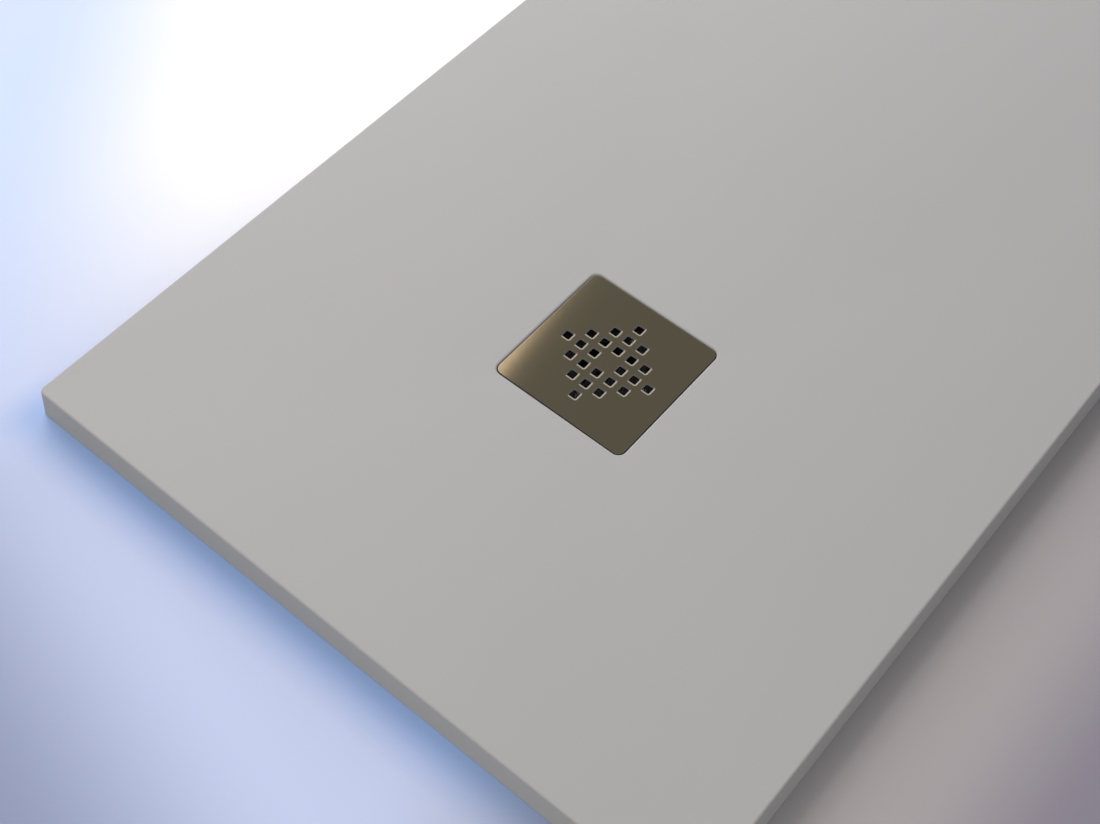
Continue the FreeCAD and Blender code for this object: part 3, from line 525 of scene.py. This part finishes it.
@dataclass(frozen=True)
class RoundedRectangle:
    """One level loop: a rectangle with round corners."""

    half_x: float
    half_y: float
    corner: float
    level: float
    middle_y: float = 0.0

    def inset(self, distance: float, level: float) -> Self:
        """The loop that lies so far inside this one, at another level."""
        half_x, half_y, corner = self.half_x - distance, self.half_y - distance, self.corner - distance
        return RoundedRectangle(half_x, half_y, corner, level, self.middle_y)

    def towards(self, other: Self, share: float) -> Self:
        """The loop at a share of the way to another one."""
        pairs = zip(astuple(self), astuple(other))
        return RoundedRectangle(*(mine + (theirs - mine) * share for mine, theirs in pairs))

    def corner_point(self, quarter: int, angle: float) -> Point:
        """Place a point of one corner's rounding.

        Args:
            quarter: Which corner, counted from the one at +X and +Y.
            angle: The direction from the rounding's middle, in radians.

        Returns:
            The point.
        """
        right, back = CORNER_SIGNS[quarter % 4]
        x = right * (self.half_x - self.corner) + self.corner * math.cos(angle)
        y = back * (self.half_y - self.corner) + self.corner * math.sin(angle)
        return x, y + self.middle_y, self.level

    def points(self, corner_steps: int, side_steps: int) -> list[Point]:
        """Place the loop's points, anticlockwise from the +X side's end.

        Args:
            corner_steps: Steps round each corner.
            side_steps: Steps along each side.

        Returns:
            The points, as many on each corner and on each side.
        """
        found: list[Point] = []
        for quarter in range(4):
            angles = arc(QUARTER * quarter, QUARTER * (quarter + 1), corner_steps)
            found += [self.corner_point(quarter, angle) for angle in angles]
            start, end = Vector(found[-1]), Vector(self.corner_point(quarter + 1, angles[-1]))
            found += [tuple(start.lerp(end, step / side_steps)) for step in range(1, side_steps)]
        return found


@dataclass(frozen=True)
class Circle:
    """One level circle, with its points shared out as a rounded rectangle's are."""

    radius: float
    level: float
    middle_y: float
    corner_span: float = math.radians(50)  # how much of it faces each corner

    def points(self, corner_steps: int, side_steps: int) -> list[Point]:
        """Place the circle's points.

        Args:
            corner_steps: Steps across each stretch that faces a corner.
            side_steps: Steps across each stretch that faces a side.

        Returns:
            The points.
        """
        angles: list[float] = []
        side_span = QUARTER - self.corner_span
        for quarter in range(4):
            start = QUARTER * quarter + side_span / 2
            end = start + self.corner_span
            angles += arc(start, end, corner_steps) + arc(end, end + side_span, side_steps)[1:-1]
        places = [(self.radius * math.cos(angle), self.radius * math.sin(angle)) for angle in angles]
        return [(x, self.middle_y + y, self.level) for x, y in places]


def skin(loops: Sequence[list[Point]], closed: bool) -> Surface:
    """Join loops of equal length with quads.

    Args:
        loops: The loops in order, each anticlockwise from above.
        closed: Whether the last loop is joined to the first.

    Returns:
        The surface. Its faces point to the right of the way from one loop to the next.
    """
    count = len(loops[0])
    points = [point for loop in loops for point in loop]
    faces: list[Face] = []
    rows = len(loops) if closed else len(loops) - 1
    for row in range(rows):
        low, high = row * count, (row + 1) % len(loops) * count
        for i in range(count):
            after = (i + 1) % count
            faces.append((low + i, low + after, high + after, high + i))
    return Surface(points, faces)


# ---- slab


@dataclass
class Slab:
    """The cast slab: leaning sides, soft falls to the square recess, and the round waste hole."""

    side_flare: float = 3.0 * MM
    corner: float = 6.0 * MM
    rim_round: float = 2.0 * MM
    foot_round: float = 0.6 * MM
    fall_depth: float = 6.0 * MM
    lip_width: float = 2.2 * MM
    lip_round: float = 2.0 * MM
    grate_gap: float = 0.7 * MM
    grate_corner: float = 7.0 * MM
    cove: float = 1.2 * MM
    hole_radius: float = 45.0 * MM
    flange_margin: float = 1.0 * MM  # round the flange, in its step
    pocket_margin: float = 4.5 * MM  # round the neck's gasket, in the pocket underneath
    crease_softness: float = 60.0 * MM
    corner_steps: int = 10
    side_steps: int = 14
    round_steps: int = 6
    fall_steps: int = 36
    support: float = 0.3 * MM  # from a rounding to the loop that keeps the flat beside it flat
    sharp_from: float = 35.0  # degrees

    def build(self, wardrobe: Wardrobe) -> None:
        """Make the slab's piece in place of its CAD node.

        Args:
            wardrobe: Where its material comes from.
        """
        loops = [loop.points(self.corner_steps, self.side_steps) for loop in self.loops()]
        mesh = skin(loops, closed=True).mesh("slab_casting")
        smooth(mesh, self.sharp_from)
        piece = new_object("slab_casting", mesh)
        piece.data.materials.append(wardrobe.materials[Slot.RESIN])
        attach(piece, Body.TRAY.value)
        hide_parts("tray_slab")
        LOG.info("made %s", piece.name)

    def loops(self) -> list[RoundedRectangle | Circle]:
        """Lay the slab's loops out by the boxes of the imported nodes.

        Returns:
            The loops, from the underside up the sides, over the face and down through the waste hole.
        """
        low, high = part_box("tray_slab")
        plate_low, plate_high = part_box("grate_plate")
        flange_low, flange_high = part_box("waste_flange")
        gasket_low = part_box("flange_gasket")[0]
        neck_low, neck_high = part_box("neck_gasket")
        drain_y = (plate_low.y + plate_high.y) / 2
        recess = (plate_high.x - plate_low.x) / 2 + self.grate_gap
        lip = high.z - self.fall_depth
        wall = RoundedRectangle(recess, recess, self.grate_corner + self.grate_gap, lip, drain_y)
        sides = self.side_loops(high)
        falls = self.fall_loops(sides[-1], wall.inset(-self.lip_width, lip))
        flange_step = (flange_high.x - flange_low.x) / 2 + self.flange_margin
        pocket = (neck_high.x - neck_low.x) / 2 + self.pocket_margin
        hole = (
            (flange_step, flange_high.z, gasket_low.z),
            (self.hole_radius, gasket_low.z, neck_high.z),
            (pocket, neck_high.z, low.z),
        )
        circles = [Circle(radius, level, drain_y) for radius, *levels in hole for level in levels]
        return sides + falls + self.recess_loops(wall, flange_high.z) + circles

    def side_loops(self, high: Vector) -> list[RoundedRectangle]:
        """Lay out the sides, from the foot to the end of the rim's rounding.

        Args:
            high: Half the width over the foot, half the length over the foot, and the rim's level.

        Returns:
            The loops.
        """
        lean = math.atan2(self.side_flare, high.z)
        steps = bend((self.foot_round, self.foot_round), self.foot_round, -QUARTER, lean, self.round_steps)
        centre = high.z - self.rim_round
        centre_inset = self.side_flare * centre / high.z + self.rim_round / math.cos(lean)
        for level in (steps[-1][1] + self.support, centre - self.support):
            steps.append((self.side_flare * level / high.z, level))
        steps += bend((centre_inset, centre), self.rim_round, lean, QUARTER, self.round_steps)
        made = []
        for inset, level in steps:
            corner = self.corner - max(0.0, inset - self.side_flare)
            made.append(RoundedRectangle(high.x - inset, high.y - inset, corner, level))
        return made

    def fall_loops(self, rim: RoundedRectangle, lip: RoundedRectangle) -> list[RoundedRectangle]:
        """Lay out the falls between the rim and the lip, with the widest corners half way down.

        Args:
            rim: The loop at the end of the rim's rounding.
            lip: The loop round the level band of the lip.

        Returns:
            The loops, closer together near both ends.
        """
        made = []
        for angle in arc(0.0, math.pi, self.fall_steps)[1:]:
            share = (1 - math.cos(angle)) / 2
            loop = rim.towards(lip, share)
            softness = self.crease_softness * math.sin(math.pi * share)
            made.append(replace(loop, corner=loop.corner + softness))
        return made

    def recess_loops(self, wall: RoundedRectangle, floor: float) -> list[RoundedRectangle]:
        """Lay out the lip's rounding, the recess wall and the cove at its foot.

        Args:
            wall: The recess wall's loop, carried up to the lip's level.
            floor: The level of the recess's floor.

        Returns:
            The loops.
        """
        wall_top, wall_foot = wall.level - self.lip_round, floor + self.cove
        steps = [
            *bend((-self.lip_round, wall_top), self.lip_round, QUARTER, 2 * QUARTER, self.round_steps),
            (0.0, wall_top - self.support),
            (0.0, wall_foot + self.support),
            *bend((self.cove, wall_foot), self.cove, 0.0, -QUARTER, self.round_steps),
            (self.cove + self.support, floor),
        ]
        return [wall.inset(*step) for step in steps]


# ---- grate


@dataclass
class Grate:
    """The square bronze plate with its diamond of holes, its studs and its feet."""

    corner: float = 7.0 * MM
    edge_round: float = 0.4 * MM
    hole_side: float = 7.2 * MM
    hole_corner: float = 0.8 * MM
    hole_pitch: float = 15.0 * MM
    dish_width: float = 1.8 * MM  # how far the punched edge rolls in round each hole
    dish_slope: float = math.radians(17)
    dish_rim: float = 0.5 * MM  # radius from the flat into the slope
    dish_throat: float = 0.35 * MM  # radius from the slope into the wall
    burr_bevel: float = 0.15 * MM
    rings: int = 3
    corner_steps: int = 6
    round_steps: int = 5
    weld: float = 0.01 * MM
    support: float = 0.12 * MM  # as on the slab
    sharp_from: float = 50.0  # degrees

    def __post_init__(self) -> None:
        """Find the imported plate's box."""
        self.low, self.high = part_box("grate_plate")

    def build(self, wardrobe: Wardrobe) -> None:
        """Make the plate in place of its CAD node and dress what is under it.

        Args:
            wardrobe: Where the materials come from.
        """
        cells = {"Pierced Cell": self.pierced_cell(), "Plain Cell": self.plain_cell()}
        surfaces = {**cells, "Border": self.border()}
        helpers = {name: new_object(name, surface.mesh(name)) for name, surface in surfaces.items()}
        sizes = {"Pitch": self.hole_pitch, "Rings": self.rings, "Weld": self.weld}
        bronze = wardrobe.materials[Slot.BRONZE]
        mesh = realised(perforated_field(), {**sizes, **helpers, "Material": bronze})
        middle = (self.low + self.high) / 2
        mesh.transform(Matrix.Translation((middle.x, middle.y, 0.0)))
        smooth(mesh, self.sharp_from)
        for helper in helpers.values():
            bpy.data.objects.remove(helper)
        piece = new_object("perforated_plate", mesh)
        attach(piece, Body.GRATE.value)
        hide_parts("grate_plate")
        LOG.info("made %s", piece.name)
        wardrobe.dress(Slot.STAINLESS, "grate_studs")
        wardrobe.dress(Slot.RUBBER, "grate_feet")

    def pierced_cell(self) -> Surface:
        """Make one square of the plate with a hole in it.

        Returns:
            The surface, whose hole runs from the flat down the dished edge and the wall.
        """
        slope, top, bottom = self.dish_slope, self.high.z, self.low.z
        leaning = QUARTER + slope
        rim = (-self.dish_width, top - self.dish_rim)
        steps = [(-self.dish_width - self.support, top)]
        steps += bend(rim, self.dish_rim, QUARTER, leaning, self.round_steps)
        inset, level = steps[-1]
        shoulder = level - (self.dish_throat * (math.sin(slope) - 1) - inset) * math.tan(slope)
        throat = (-self.dish_throat, shoulder - self.dish_throat * math.cos(slope))
        steps += bend(throat, self.dish_throat, leaning, 2 * QUARTER, self.round_steps)
        steps += [(0.0, bottom + self.burr_bevel), (-self.burr_bevel, bottom)]
        half = self.hole_side / 2
        return self.framed(RoundedRectangle(half, half, self.hole_corner, top), steps, cells=1)

    def plain_cell(self) -> Surface:
        """Make one square of the plate without a hole.

        Returns:
            The surface.
        """
        half, levels = self.hole_pitch / 2, (self.high.z, self.low.z)
        points = [(x * half, y * half, level) for level in levels for x, y in CORNER_SIGNS]
        return Surface(points, [(0, 1, 2, 3), (7, 6, 5, 4)])

    def border(self) -> Surface:
        """Make the plate round the field of cells, out to its rounded edge.

        Returns:
            The surface.
        """
        half, top, bottom = (self.high.x - self.low.x) / 2, self.high.z, self.low.z
        steps = [(self.burr_bevel, bottom), (0.0, bottom + self.burr_bevel)]
        radius = self.edge_round
        steps += bend((radius, top - radius), radius, 0.0, QUARTER, self.round_steps)
        steps.append((radius + self.support, top))
        return self.framed(RoundedRectangle(half, half, self.corner, top), steps, cells=2 * self.rings + 1)

    def framed(self, outline: RoundedRectangle, steps: list[Step], cells: int) -> Surface:
        """Skin an outline's loops, and join the first and the last to a square of cells by a flat.

        Args:
            outline: The outline.
            steps: The step of each loop.
            cells: How many cells the square has along a side.

        Returns:
            The surface.
        """
        loops = [outline.inset(*step).points(self.corner_steps, side_steps=1) for step in steps]
        surface = skin(loops, closed=False)
        last = len(surface.points) - len(loops[-1])
        self.fill_flat(surface, 0, steps[0][1], cells, forward=False)
        self.fill_flat(surface, last, steps[-1][1], cells, forward=True)
        return surface

    def fill_flat(self, surface: Surface, start: int, level: float, cells: int, forward: bool) -> None:
        """Fill the flat between a loop and a square of cells that is outside or inside it.

        Args:
            surface: The surface, which gains the square's points and the faces.
            start: The index of the loop's first point.
            level: The flat's level.
            cells: How many cells, and so how many points, the square has along a side.
            forward: Whether the faces follow the loop's own direction.
        """
        square = len(surface.points)
        half = cells * self.hole_pitch / 2
        for quarter in range(4):
            here, there = (Vector(CORNER_SIGNS[(quarter + turn) % 4]) * half for turn in (0, 1))
            places = [here.lerp(there, cell / cells) for cell in range(cells)]
            surface.points += [(place.x, place.y, level) for place in places]
        per_quarter = self.corner_steps + 1
        for quarter in range(4):
            first = start + quarter * per_quarter
            corner = square + quarter * cells
            faces = [(first + step, first + step + 1, corner) for step in range(self.corner_steps)]
            after = start + (quarter + 1) % 4 * per_quarter
            along = [square + (quarter * cells + cell) % (4 * cells) for cell in range(cells, -1, -1)]
            faces.append((first + self.corner_steps, after, *along))
            surface.faces += faces if forward else [face[::-1] for face in faces]


def perforated_field() -> bpy.types.NodeTree:
    """Build the node tree that lays out a diamond of pierced cells in a square field.

    Returns:
        A geometry node tree that fills the field with two kinds of cell and welds the border on.
    """
    graph = NodeGraph(bpy.data.node_groups.new("perforated_field", "GeometryNodeTree"))
    inputs = {"Geometry": "Geometry", "Pitch": "Float", "Rings": "Int", "Weld": "Float"}
    pieces = {"Pierced Cell": "Object", "Plain Cell": "Object", "Border": "Object", "Material": "Material"}
    entry, leave = graph.interface(inputs | pieces, {"Geometry": "Geometry"})

    reach = graph.math("MULTIPLY", entry["Rings"], 2.0)
    side = graph.math("MULTIPLY", reach, entry["Pitch"])
    count = graph.math("ADD", reach, 1.0)
    sizes = {"Size X": side, "Size Y": side, "Vertices X": count, "Vertices Y": count}
    grid = graph.add("GeometryNodeMeshGrid", sizes).outputs["Mesh"]

    place = graph.split(graph.add("GeometryNodeInputPosition").outputs[0])
    x, y = (graph.math("ABSOLUTE", place[axis]) for axis in "XY")
    ring = graph.math("ROUND", graph.math("DIVIDE", graph.math("ADD", x, y), entry["Pitch"]))
    half_ring = 0.5
    off_centre = graph.math("GREATER_THAN", ring, half_ring)
    within = graph.math("LESS_THAN", ring, graph.math("ADD", entry["Rings"], half_ring))
    pierced = graph.math("MULTIPLY", off_centre, within)
    plain = graph.math("SUBTRACT", 1.0, pierced)

    join = graph.add("GeometryNodeJoinGeometry")
    for name, chosen in (("Pierced Cell", pierced), ("Plain Cell", plain)):
        cell = graph.add("GeometryNodeObjectInfo", {"Object": entry[name]}).outputs["Geometry"]
        spread = {"Points": grid, "Selection": chosen, "Instance": cell}
        graph.feed(join.inputs[0], graph.add("GeometryNodeInstanceOnPoints", spread).outputs[0])
    border = graph.add("GeometryNodeObjectInfo", {"Object": entry["Border"]})
    graph.feed(join.inputs[0], border.outputs["Geometry"])
    real = graph.add("GeometryNodeRealizeInstances", {0: join.outputs[0]}).outputs[0]
    closeness = {"Geometry": real, "Distance": entry["Weld"]}
    welded = graph.add("GeometryNodeMergeByDistance", closeness).outputs[0]
    finish = {"Geometry": welded, "Material": entry["Material"]}
    graph.feed(leave.inputs["Geometry"], graph.add("GeometryNodeSetMaterial", finish).outputs[0])
    return graph.tree


def realised(tree: bpy.types.NodeTree, values: dict[str, Any]) -> bpy.types.Mesh:
    """Run a geometry node tree.

    Args:
        tree: The tree.
        values: Its inputs by name.

    Returns:
        The result as a plain mesh.
    """
    holder = new_object(f"{tree.name}_holder", bpy.data.meshes.new(f"{tree.name}_seed"))
    modifier = holder.modifiers.new(tree.name, "NODES")
    modifier.node_group = tree
    for item in tree.interface.items_tree:
        if item.in_out == "INPUT" and item.name in values:
            modifier[item.identifier] = values[item.name]
    graph = bpy.context.evaluated_depsgraph_get()
    mesh = bpy.data.meshes.new_from_object(holder.evaluated_get(graph))
    bpy.data.objects.remove(holder)
    return mesh


# ---- waste and trap


@dataclass
class Waste:
    """The pieces below the grate, which keep their CAD shapes."""

    nodes: tuple[tuple[Slot, tuple[str, ...]], ...] = (
        (Slot.FLANGE, ("waste_flange",)),
        (Slot.STAINLESS, ("clamp_screws",)),
        (Slot.BRASS, ("screw_inserts",)),
        (Slot.TRAP, ("trap_head", "trap_bowl", "outlet_elbow")),
        (Slot.INSERT, ("siphon_insert", "hair_basket")),
        (Slot.NUT, ("outlet_nut", "pipe_nut")),
        (Slot.RUBBER, ("flange_gasket", "neck_gasket", "bowl_seal")),
        (Slot.RUBBER, ("insert_seal", "outlet_seal", "pipe_seal")),
    )

    def build(self, wardrobe: Wardrobe) -> None:
        """Dress every piece from the wardrobe."""
        for slot, names in self.nodes:
            wardrobe.dress(slot, *names)


# ---- studio


@dataclass(frozen=True)
class ViewPoint:
    """The camera of the photograph, as solved from the slab's edges and the grate."""

    azimuth: float = 36.009  # degrees
    elevation: float = 55.957
    roll: float = 3.479
    distance: float = 1.416517
    target: Point = (0.033781, -0.289938, 0.032)
    focal_pixels: float = 1653.112
    centre_offset: tuple[float, float] = (64.022, -10.323)  # pixels
    image_width: float = 1100.0
    sensor: float = 36.0  # mm
    clip_start: float = 0.05

    def axes(self) -> tuple[Vector, Vector, Vector]:
        """Find how the camera is turned.

        Returns:
            Its right, up and back directions.
        """
        a, e, r = (math.radians(angle) for angle in (self.azimuth, self.elevation, self.roll))
        back = Vector((math.sin(a) * math.cos(e), -math.cos(a) * math.cos(e), math.sin(e)))
        right = Vector((0, 0, 1)).cross(back).normalized()
        up = back.cross(right)
        return right * math.cos(r) + up * math.sin(r), up * math.cos(r) - right * math.sin(r), back

    def place(self) -> Vector:
        """Where the camera stands."""
        return Vector(self.target) + self.axes()[2] * self.distance

    def build(self) -> None:
        """Make the scene's camera."""
        data = bpy.data.cameras.new("camera")
        data.sensor_width = self.sensor
        data.lens = self.sensor * self.focal_pixels / self.image_width
        data.shift_x = -self.centre_offset[0] / self.image_width
        data.shift_y = self.centre_offset[1] / self.image_width
        data.clip_start = self.clip_start
        camera = new_object("camera", data)
        turned = Matrix(self.axes()).transposed().to_4x4()
        camera.matrix_world = Matrix.Translation(self.place()) @ turned
        bpy.context.scene.camera = camera


@dataclass(frozen=True)
class Panel:
    """A rectangular light."""

    name: str
    width: float
    height: float
    radiance: float  # how bright its face looks, whatever its size
    colour: Colour

    def hang(self, place: Vector, turn: Sequence[float]) -> None:
        """Put the light in the scene.

        Args:
            place: Where it hangs.
            turn: Its rotation from facing straight down.
        """
        data = bpy.data.lights.new(self.name, "AREA")
        data.shape = "RECTANGLE"
        data.size, data.size_y = self.width, self.height
        data.energy = self.radiance * math.pi * self.width * self.height
        data.color = self.colour
        light = new_object(self.name, data)
        light.location, light.rotation_euler = place, turn


@dataclass(frozen=True)
class Lamp:
    """A soft lamp, placed by its bearing from the drain."""

    panel: Panel
    azimuth: float  # degrees from +Y towards +X
    elevation: float
    distance: float

    def build(self, aim: Vector) -> None:
        """Hang the lamp.

        Args:
            aim: The point that it faces.
        """
        a, e = math.radians(self.azimuth), math.radians(self.elevation)
        away = Vector((math.sin(a) * math.cos(e), math.cos(a) * math.cos(e), math.sin(e)))
        self.panel.hang(aim + away * self.distance, away.to_track_quat("Z", "Y").to_euler())


@dataclass(frozen=True)
class MirroredLamp:
    """An overhead lamp whose edge the camera sees in the grate, so that one corner shines."""

    panel: Panel = Panel("overhead", 0.95, 2.4, 7.0, (1.0, 0.85, 0.80))
    level: float = 4.0
    edge_start: tuple[float, float] = (0.0, 0.31)  # shares of the plate, from its -X and -Y sides
    edge_end: tuple[float, float] = (0.05, 0.0)

    def build(self, view: ViewPoint) -> None:
        """Hang the lamp.

        Args:
            view: Where the camera stands.
        """
        centre = (0.5, 0.5)
        shares = (self.edge_start, self.edge_end, centre)
        start, end, middle = (self.mirrored(view, share) for share in shares)
        along = (end - start).normalized()
        outward = Vector((-along.y, along.x, 0.0))
        if outward.dot(start - middle) < 0:
            outward.negate()
        place = (start + end) / 2 + outward * self.panel.width / 2
        self.panel.hang(place, (0.0, 0.0, math.atan2(along.y, along.x) - QUARTER))

    def mirrored(self, view: ViewPoint, share: tuple[float, float]) -> Vector:
        """Find what the camera sees in a point of the plate.

        Args:
            view: Where the camera stands.
            share: The point, as shares of the plate's width and length.

        Returns:
            The place at the lamp's level.
        """
        low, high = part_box("grate_plate")
        point = Vector((low.x + (high.x - low.x) * share[0], low.y + (high.y - low.y) * share[1], high.z))
        eye = view.place()
        ray = Vector((point.x - eye.x, point.y - eye.y, eye.z - point.z))
        return point + ray * (self.level - point.z) / ray.z


@dataclass(frozen=True)
class FloorPaint:
    """Pale paint that is bluish in front, white towards the window and grey past the tray's right side.

    The white towards the window is a painted pool of light. The grey past the right side, the darker band along
    that side, the dark blue band along the tray's front and the darker tones far in front and far to the right
    are painted shade and shadow. The tones fade into one pale colour away from the tray. Other surfaces are lit
    as by a plain grey floor.
    """

    around: Colour = (0.60, 0.62, 0.68)
    front: Colour = (0.53, 0.61, 0.86)
    # painted shadow: the dark blue band along the tray's front
    painted_front_shadow: Colour = (0.29, 0.43, 0.77)
    # painted shade: darker blue far in front of the tray
    painted_far_front_shade: Colour = (0.24, 0.285, 0.45)
    # painted light: the white pool towards the window lamp
    painted_window_light: Colour = (1.0, 1.0, 1.0)
    far_left: Colour = (0.58, 0.70, 0.96)
    # painted shade: the grey past the tray's right side, where the tray's shadow falls
    right: Colour = (0.375, 0.355, 0.37)
    # painted shadow: the darker band along the tray's right side
    painted_right_shadow: Colour = (0.25, 0.24, 0.25)
    # painted shade: darker still far to the right of the tray
    painted_far_right_shade: Colour = (0.23, 0.21, 0.27)
    bounced: Colour = (0.35, 0.345, 0.36)
    # where the painted window light comes in
    window_span: tuple[float, float] = (-0.25, 0.18)  # metres towards the window, half way between -X and +Y
    # how far the painted shadow along the tray's front reaches
    front_reach: float = 0.05  # metres from the tray's front
    # how far the painted shadows reach past the tray's sides
    side_reach: float = 0.04  # metres from the tray's sides
    # front_slant and before_span place the painted shade far in front
    front_slant: float = 0.27  # how fast the far front draws away from the tray as X grows
    before_span: tuple[float, float] = (0.09, 0.30)  # metres from the tray's front
    picture_right: tuple[float, float] = (0.81, 0.59)  # along X and Y
    left_span: tuple[float, float] = (-0.76, -0.52)  # metres towards the right of the picture
    # where the painted shade on the right starts to come in
    right_from: float = 0.10  # metres along X, where the right's tones start to come in
    # where the painted shade far to the right comes in
    far_span: tuple[float, float] = (0.42, 0.54)  # metres along X
    middle: Point = (-0.08, -0.4, 0.0)
    around_span: tuple[float, float] = (0.60, 0.95)  # metres from the middle
    roughness: float = 0.6

    def material(self) -> bpy.types.Material:
        """Build the material.

        Returns:
            The finished material.
        """
        made = SurfaceMaterial("floor_paint")
        graph = made.graph
        place = graph.split(made.place)
        x, y = place["X"], place["Y"]
        left = self.left_tones(graph, x, y)
        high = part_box("tray_slab")[1]
        # painted shadow along the tray's right side
        painted_right_shadow = graph.soft_step(x, high.x + self.side_reach, high.x)
        right = graph.mix(painted_right_shadow, self.right, self.painted_right_shadow)
        # painted shade far to the right
        right = graph.mix(graph.soft_step(x, *self.far_span), right, self.painted_far_right_shade)
        # the painted shade on the right takes over from the left's tones
        paint = graph.mix(graph.soft_step(x, self.right_from, high.x), left, right)
        ends = {0: made.place, 1: self.middle}
        distance = graph.add("ShaderNodeVectorMath", ends, operation="DISTANCE").outputs["Value"]
        away = graph.soft_step(distance, *self.around_span)
        paint = graph.mix(graph.seen_itself(), self.bounced, graph.mix(away, paint, self.around))
        return made.finished({"Base Color": paint, "Roughness": self.roughness})

    def left_tones(self, graph: NodeGraph, x: Socket, y: Socket) -> Socket:
        """Mix the tones before the tray and on its left: the painted shadow along the front, the painted shade
        far in front and the painted window light.

        Args:
            graph: The paint's graph.
            x: The place along X.
            y: The place along Y.

        Returns:
            The colour's socket.
        """
        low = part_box("tray_slab")[0]
        # painted shadow: the mask of the band along the tray's front, which ends at the tray's left side
        before = graph.math("ABSOLUTE", graph.math("SUBTRACT", y, low.y))
        before = graph.soft_step(before, self.front_reach, 0.0)
        beside = graph.soft_step(x, low.x - self.side_reach, low.x)
        front = graph.mix(graph.math("MULTIPLY", before, beside), self.front, self.painted_front_shadow)
        # painted shade far in front of the tray
        ahead = graph.math("SUBTRACT", low.y, graph.math("MULTIPLY_ADD", x, self.front_slant, y))
        front = graph.mix(graph.soft_step(ahead, *self.before_span), front, self.painted_far_front_shade)
        # painted light: white near the window, with the bluish floor tone further left
        right_x, right_y = self.picture_right
        across = graph.math("MULTIPLY_ADD", x, right_x, graph.math("MULTIPLY", y, right_y))
        near = graph.soft_step(across, *self.left_span)
        window = graph.mix(near, self.far_left, self.painted_window_light)
        diagonal = math.sqrt(0.5)
        # painted light towards the window, half way between -X and +Y
        towards = graph.math("MULTIPLY", graph.math("SUBTRACT", y, x), diagonal)
        return graph.mix(graph.soft_step(towards, *self.window_span), front, window)


@dataclass
class Studio:
    """The pale floor with a pocket under the tray, the lamps and the sky."""

    sky_level: float = 0.28
    sky_colour: Colour = (0.98, 0.99, 1.02)
    seen_sky: Colour = (0.90, 0.93, 1.0)
    floor_reach: float = 12.0
    floor_drop: float = 0.3 * MM
    pocket_margin: float = 30.0 * MM
    lamps: tuple[Lamp, ...] = (
        Lamp(Panel("window", 4.2, 2.0, 2.75, (1.0, 0.99, 0.98)), azimuth=-66.0, elevation=33.0, distance=3.2),
        Lamp(Panel("back_window", 1.5, 0.85, 2.4, (1.0, 0.99, 0.98)), -18.0, 24.0, 3.2),
        Lamp(Panel("front_fill", 3.0, 2.0, 1.52, (1.0, 0.95, 0.87)), 156.0, 42.0, 2.3),
    )

    def build(self, view: ViewPoint) -> None:
        """Set the scene round the tray.

        Args:
            view: The camera's place, which the overhead lamp follows.
        """
        self.floor()
        self.sky()
        view.build()
        plate_low, plate_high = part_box("grate_plate")
        for lamp in self.lamps:
            lamp.build((plate_low + plate_high) / 2)
        MirroredLamp().build(view)
        bpy.context.scene.view_settings.view_transform = "Standard"

    def floor(self) -> None:
        """Lay the floor, open under the tray."""
        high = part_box("tray_slab")[1]
        outer = (self.floor_reach, self.floor_reach)
        inner = (high.x - self.pocket_margin, high.y - self.pocket_margin)
        level = -self.floor_drop
        points = [(half_x * x, half_y * y, level) for half_x, half_y in (outer, inner) for x, y in CORNER_SIGNS]
        faces = [(i, (i + 1) % 4, 4 + (i + 1) % 4, 4 + i) for i in range(4)]
        floor = new_object("floor", Surface(points, faces).mesh("floor"))
        floor.data.materials.append(FloorPaint().material())

    def sky(self) -> None:
        """Light the scene evenly, and show a pale sky to the camera and in reflections."""
        world = bpy.data.worlds.new("sky")
        bpy.context.scene.world = world
        world.use_nodes = True
        graph = NodeGraph(world.node_tree)
        graph.tree.nodes.clear()
        light = graph.add("ShaderNodeBackground", {"Color": self.sky_colour, "Strength": self.sky_level})
        shown = graph.add("ShaderNodeBackground", {"Color": self.seen_sky})
        skies = {0: graph.seen_itself(), 1: light.outputs[0], 2: shown.outputs[0]}
        mixed = graph.add("ShaderNodeMixShader", skies)
        graph.add("ShaderNodeOutputWorld", {"Surface": mixed.outputs[0]})


def main() -> None:
    """Build every sub-assembly, then the studio."""
    logging.basicConfig(level=logging.INFO)
    wardrobe = Wardrobe()
    for assembly in (Slab(), Grate(), Waste()):
        assembly.build(wardrobe)
    Studio().build(ViewPoint())


if __name__ == "__main__":
    main()
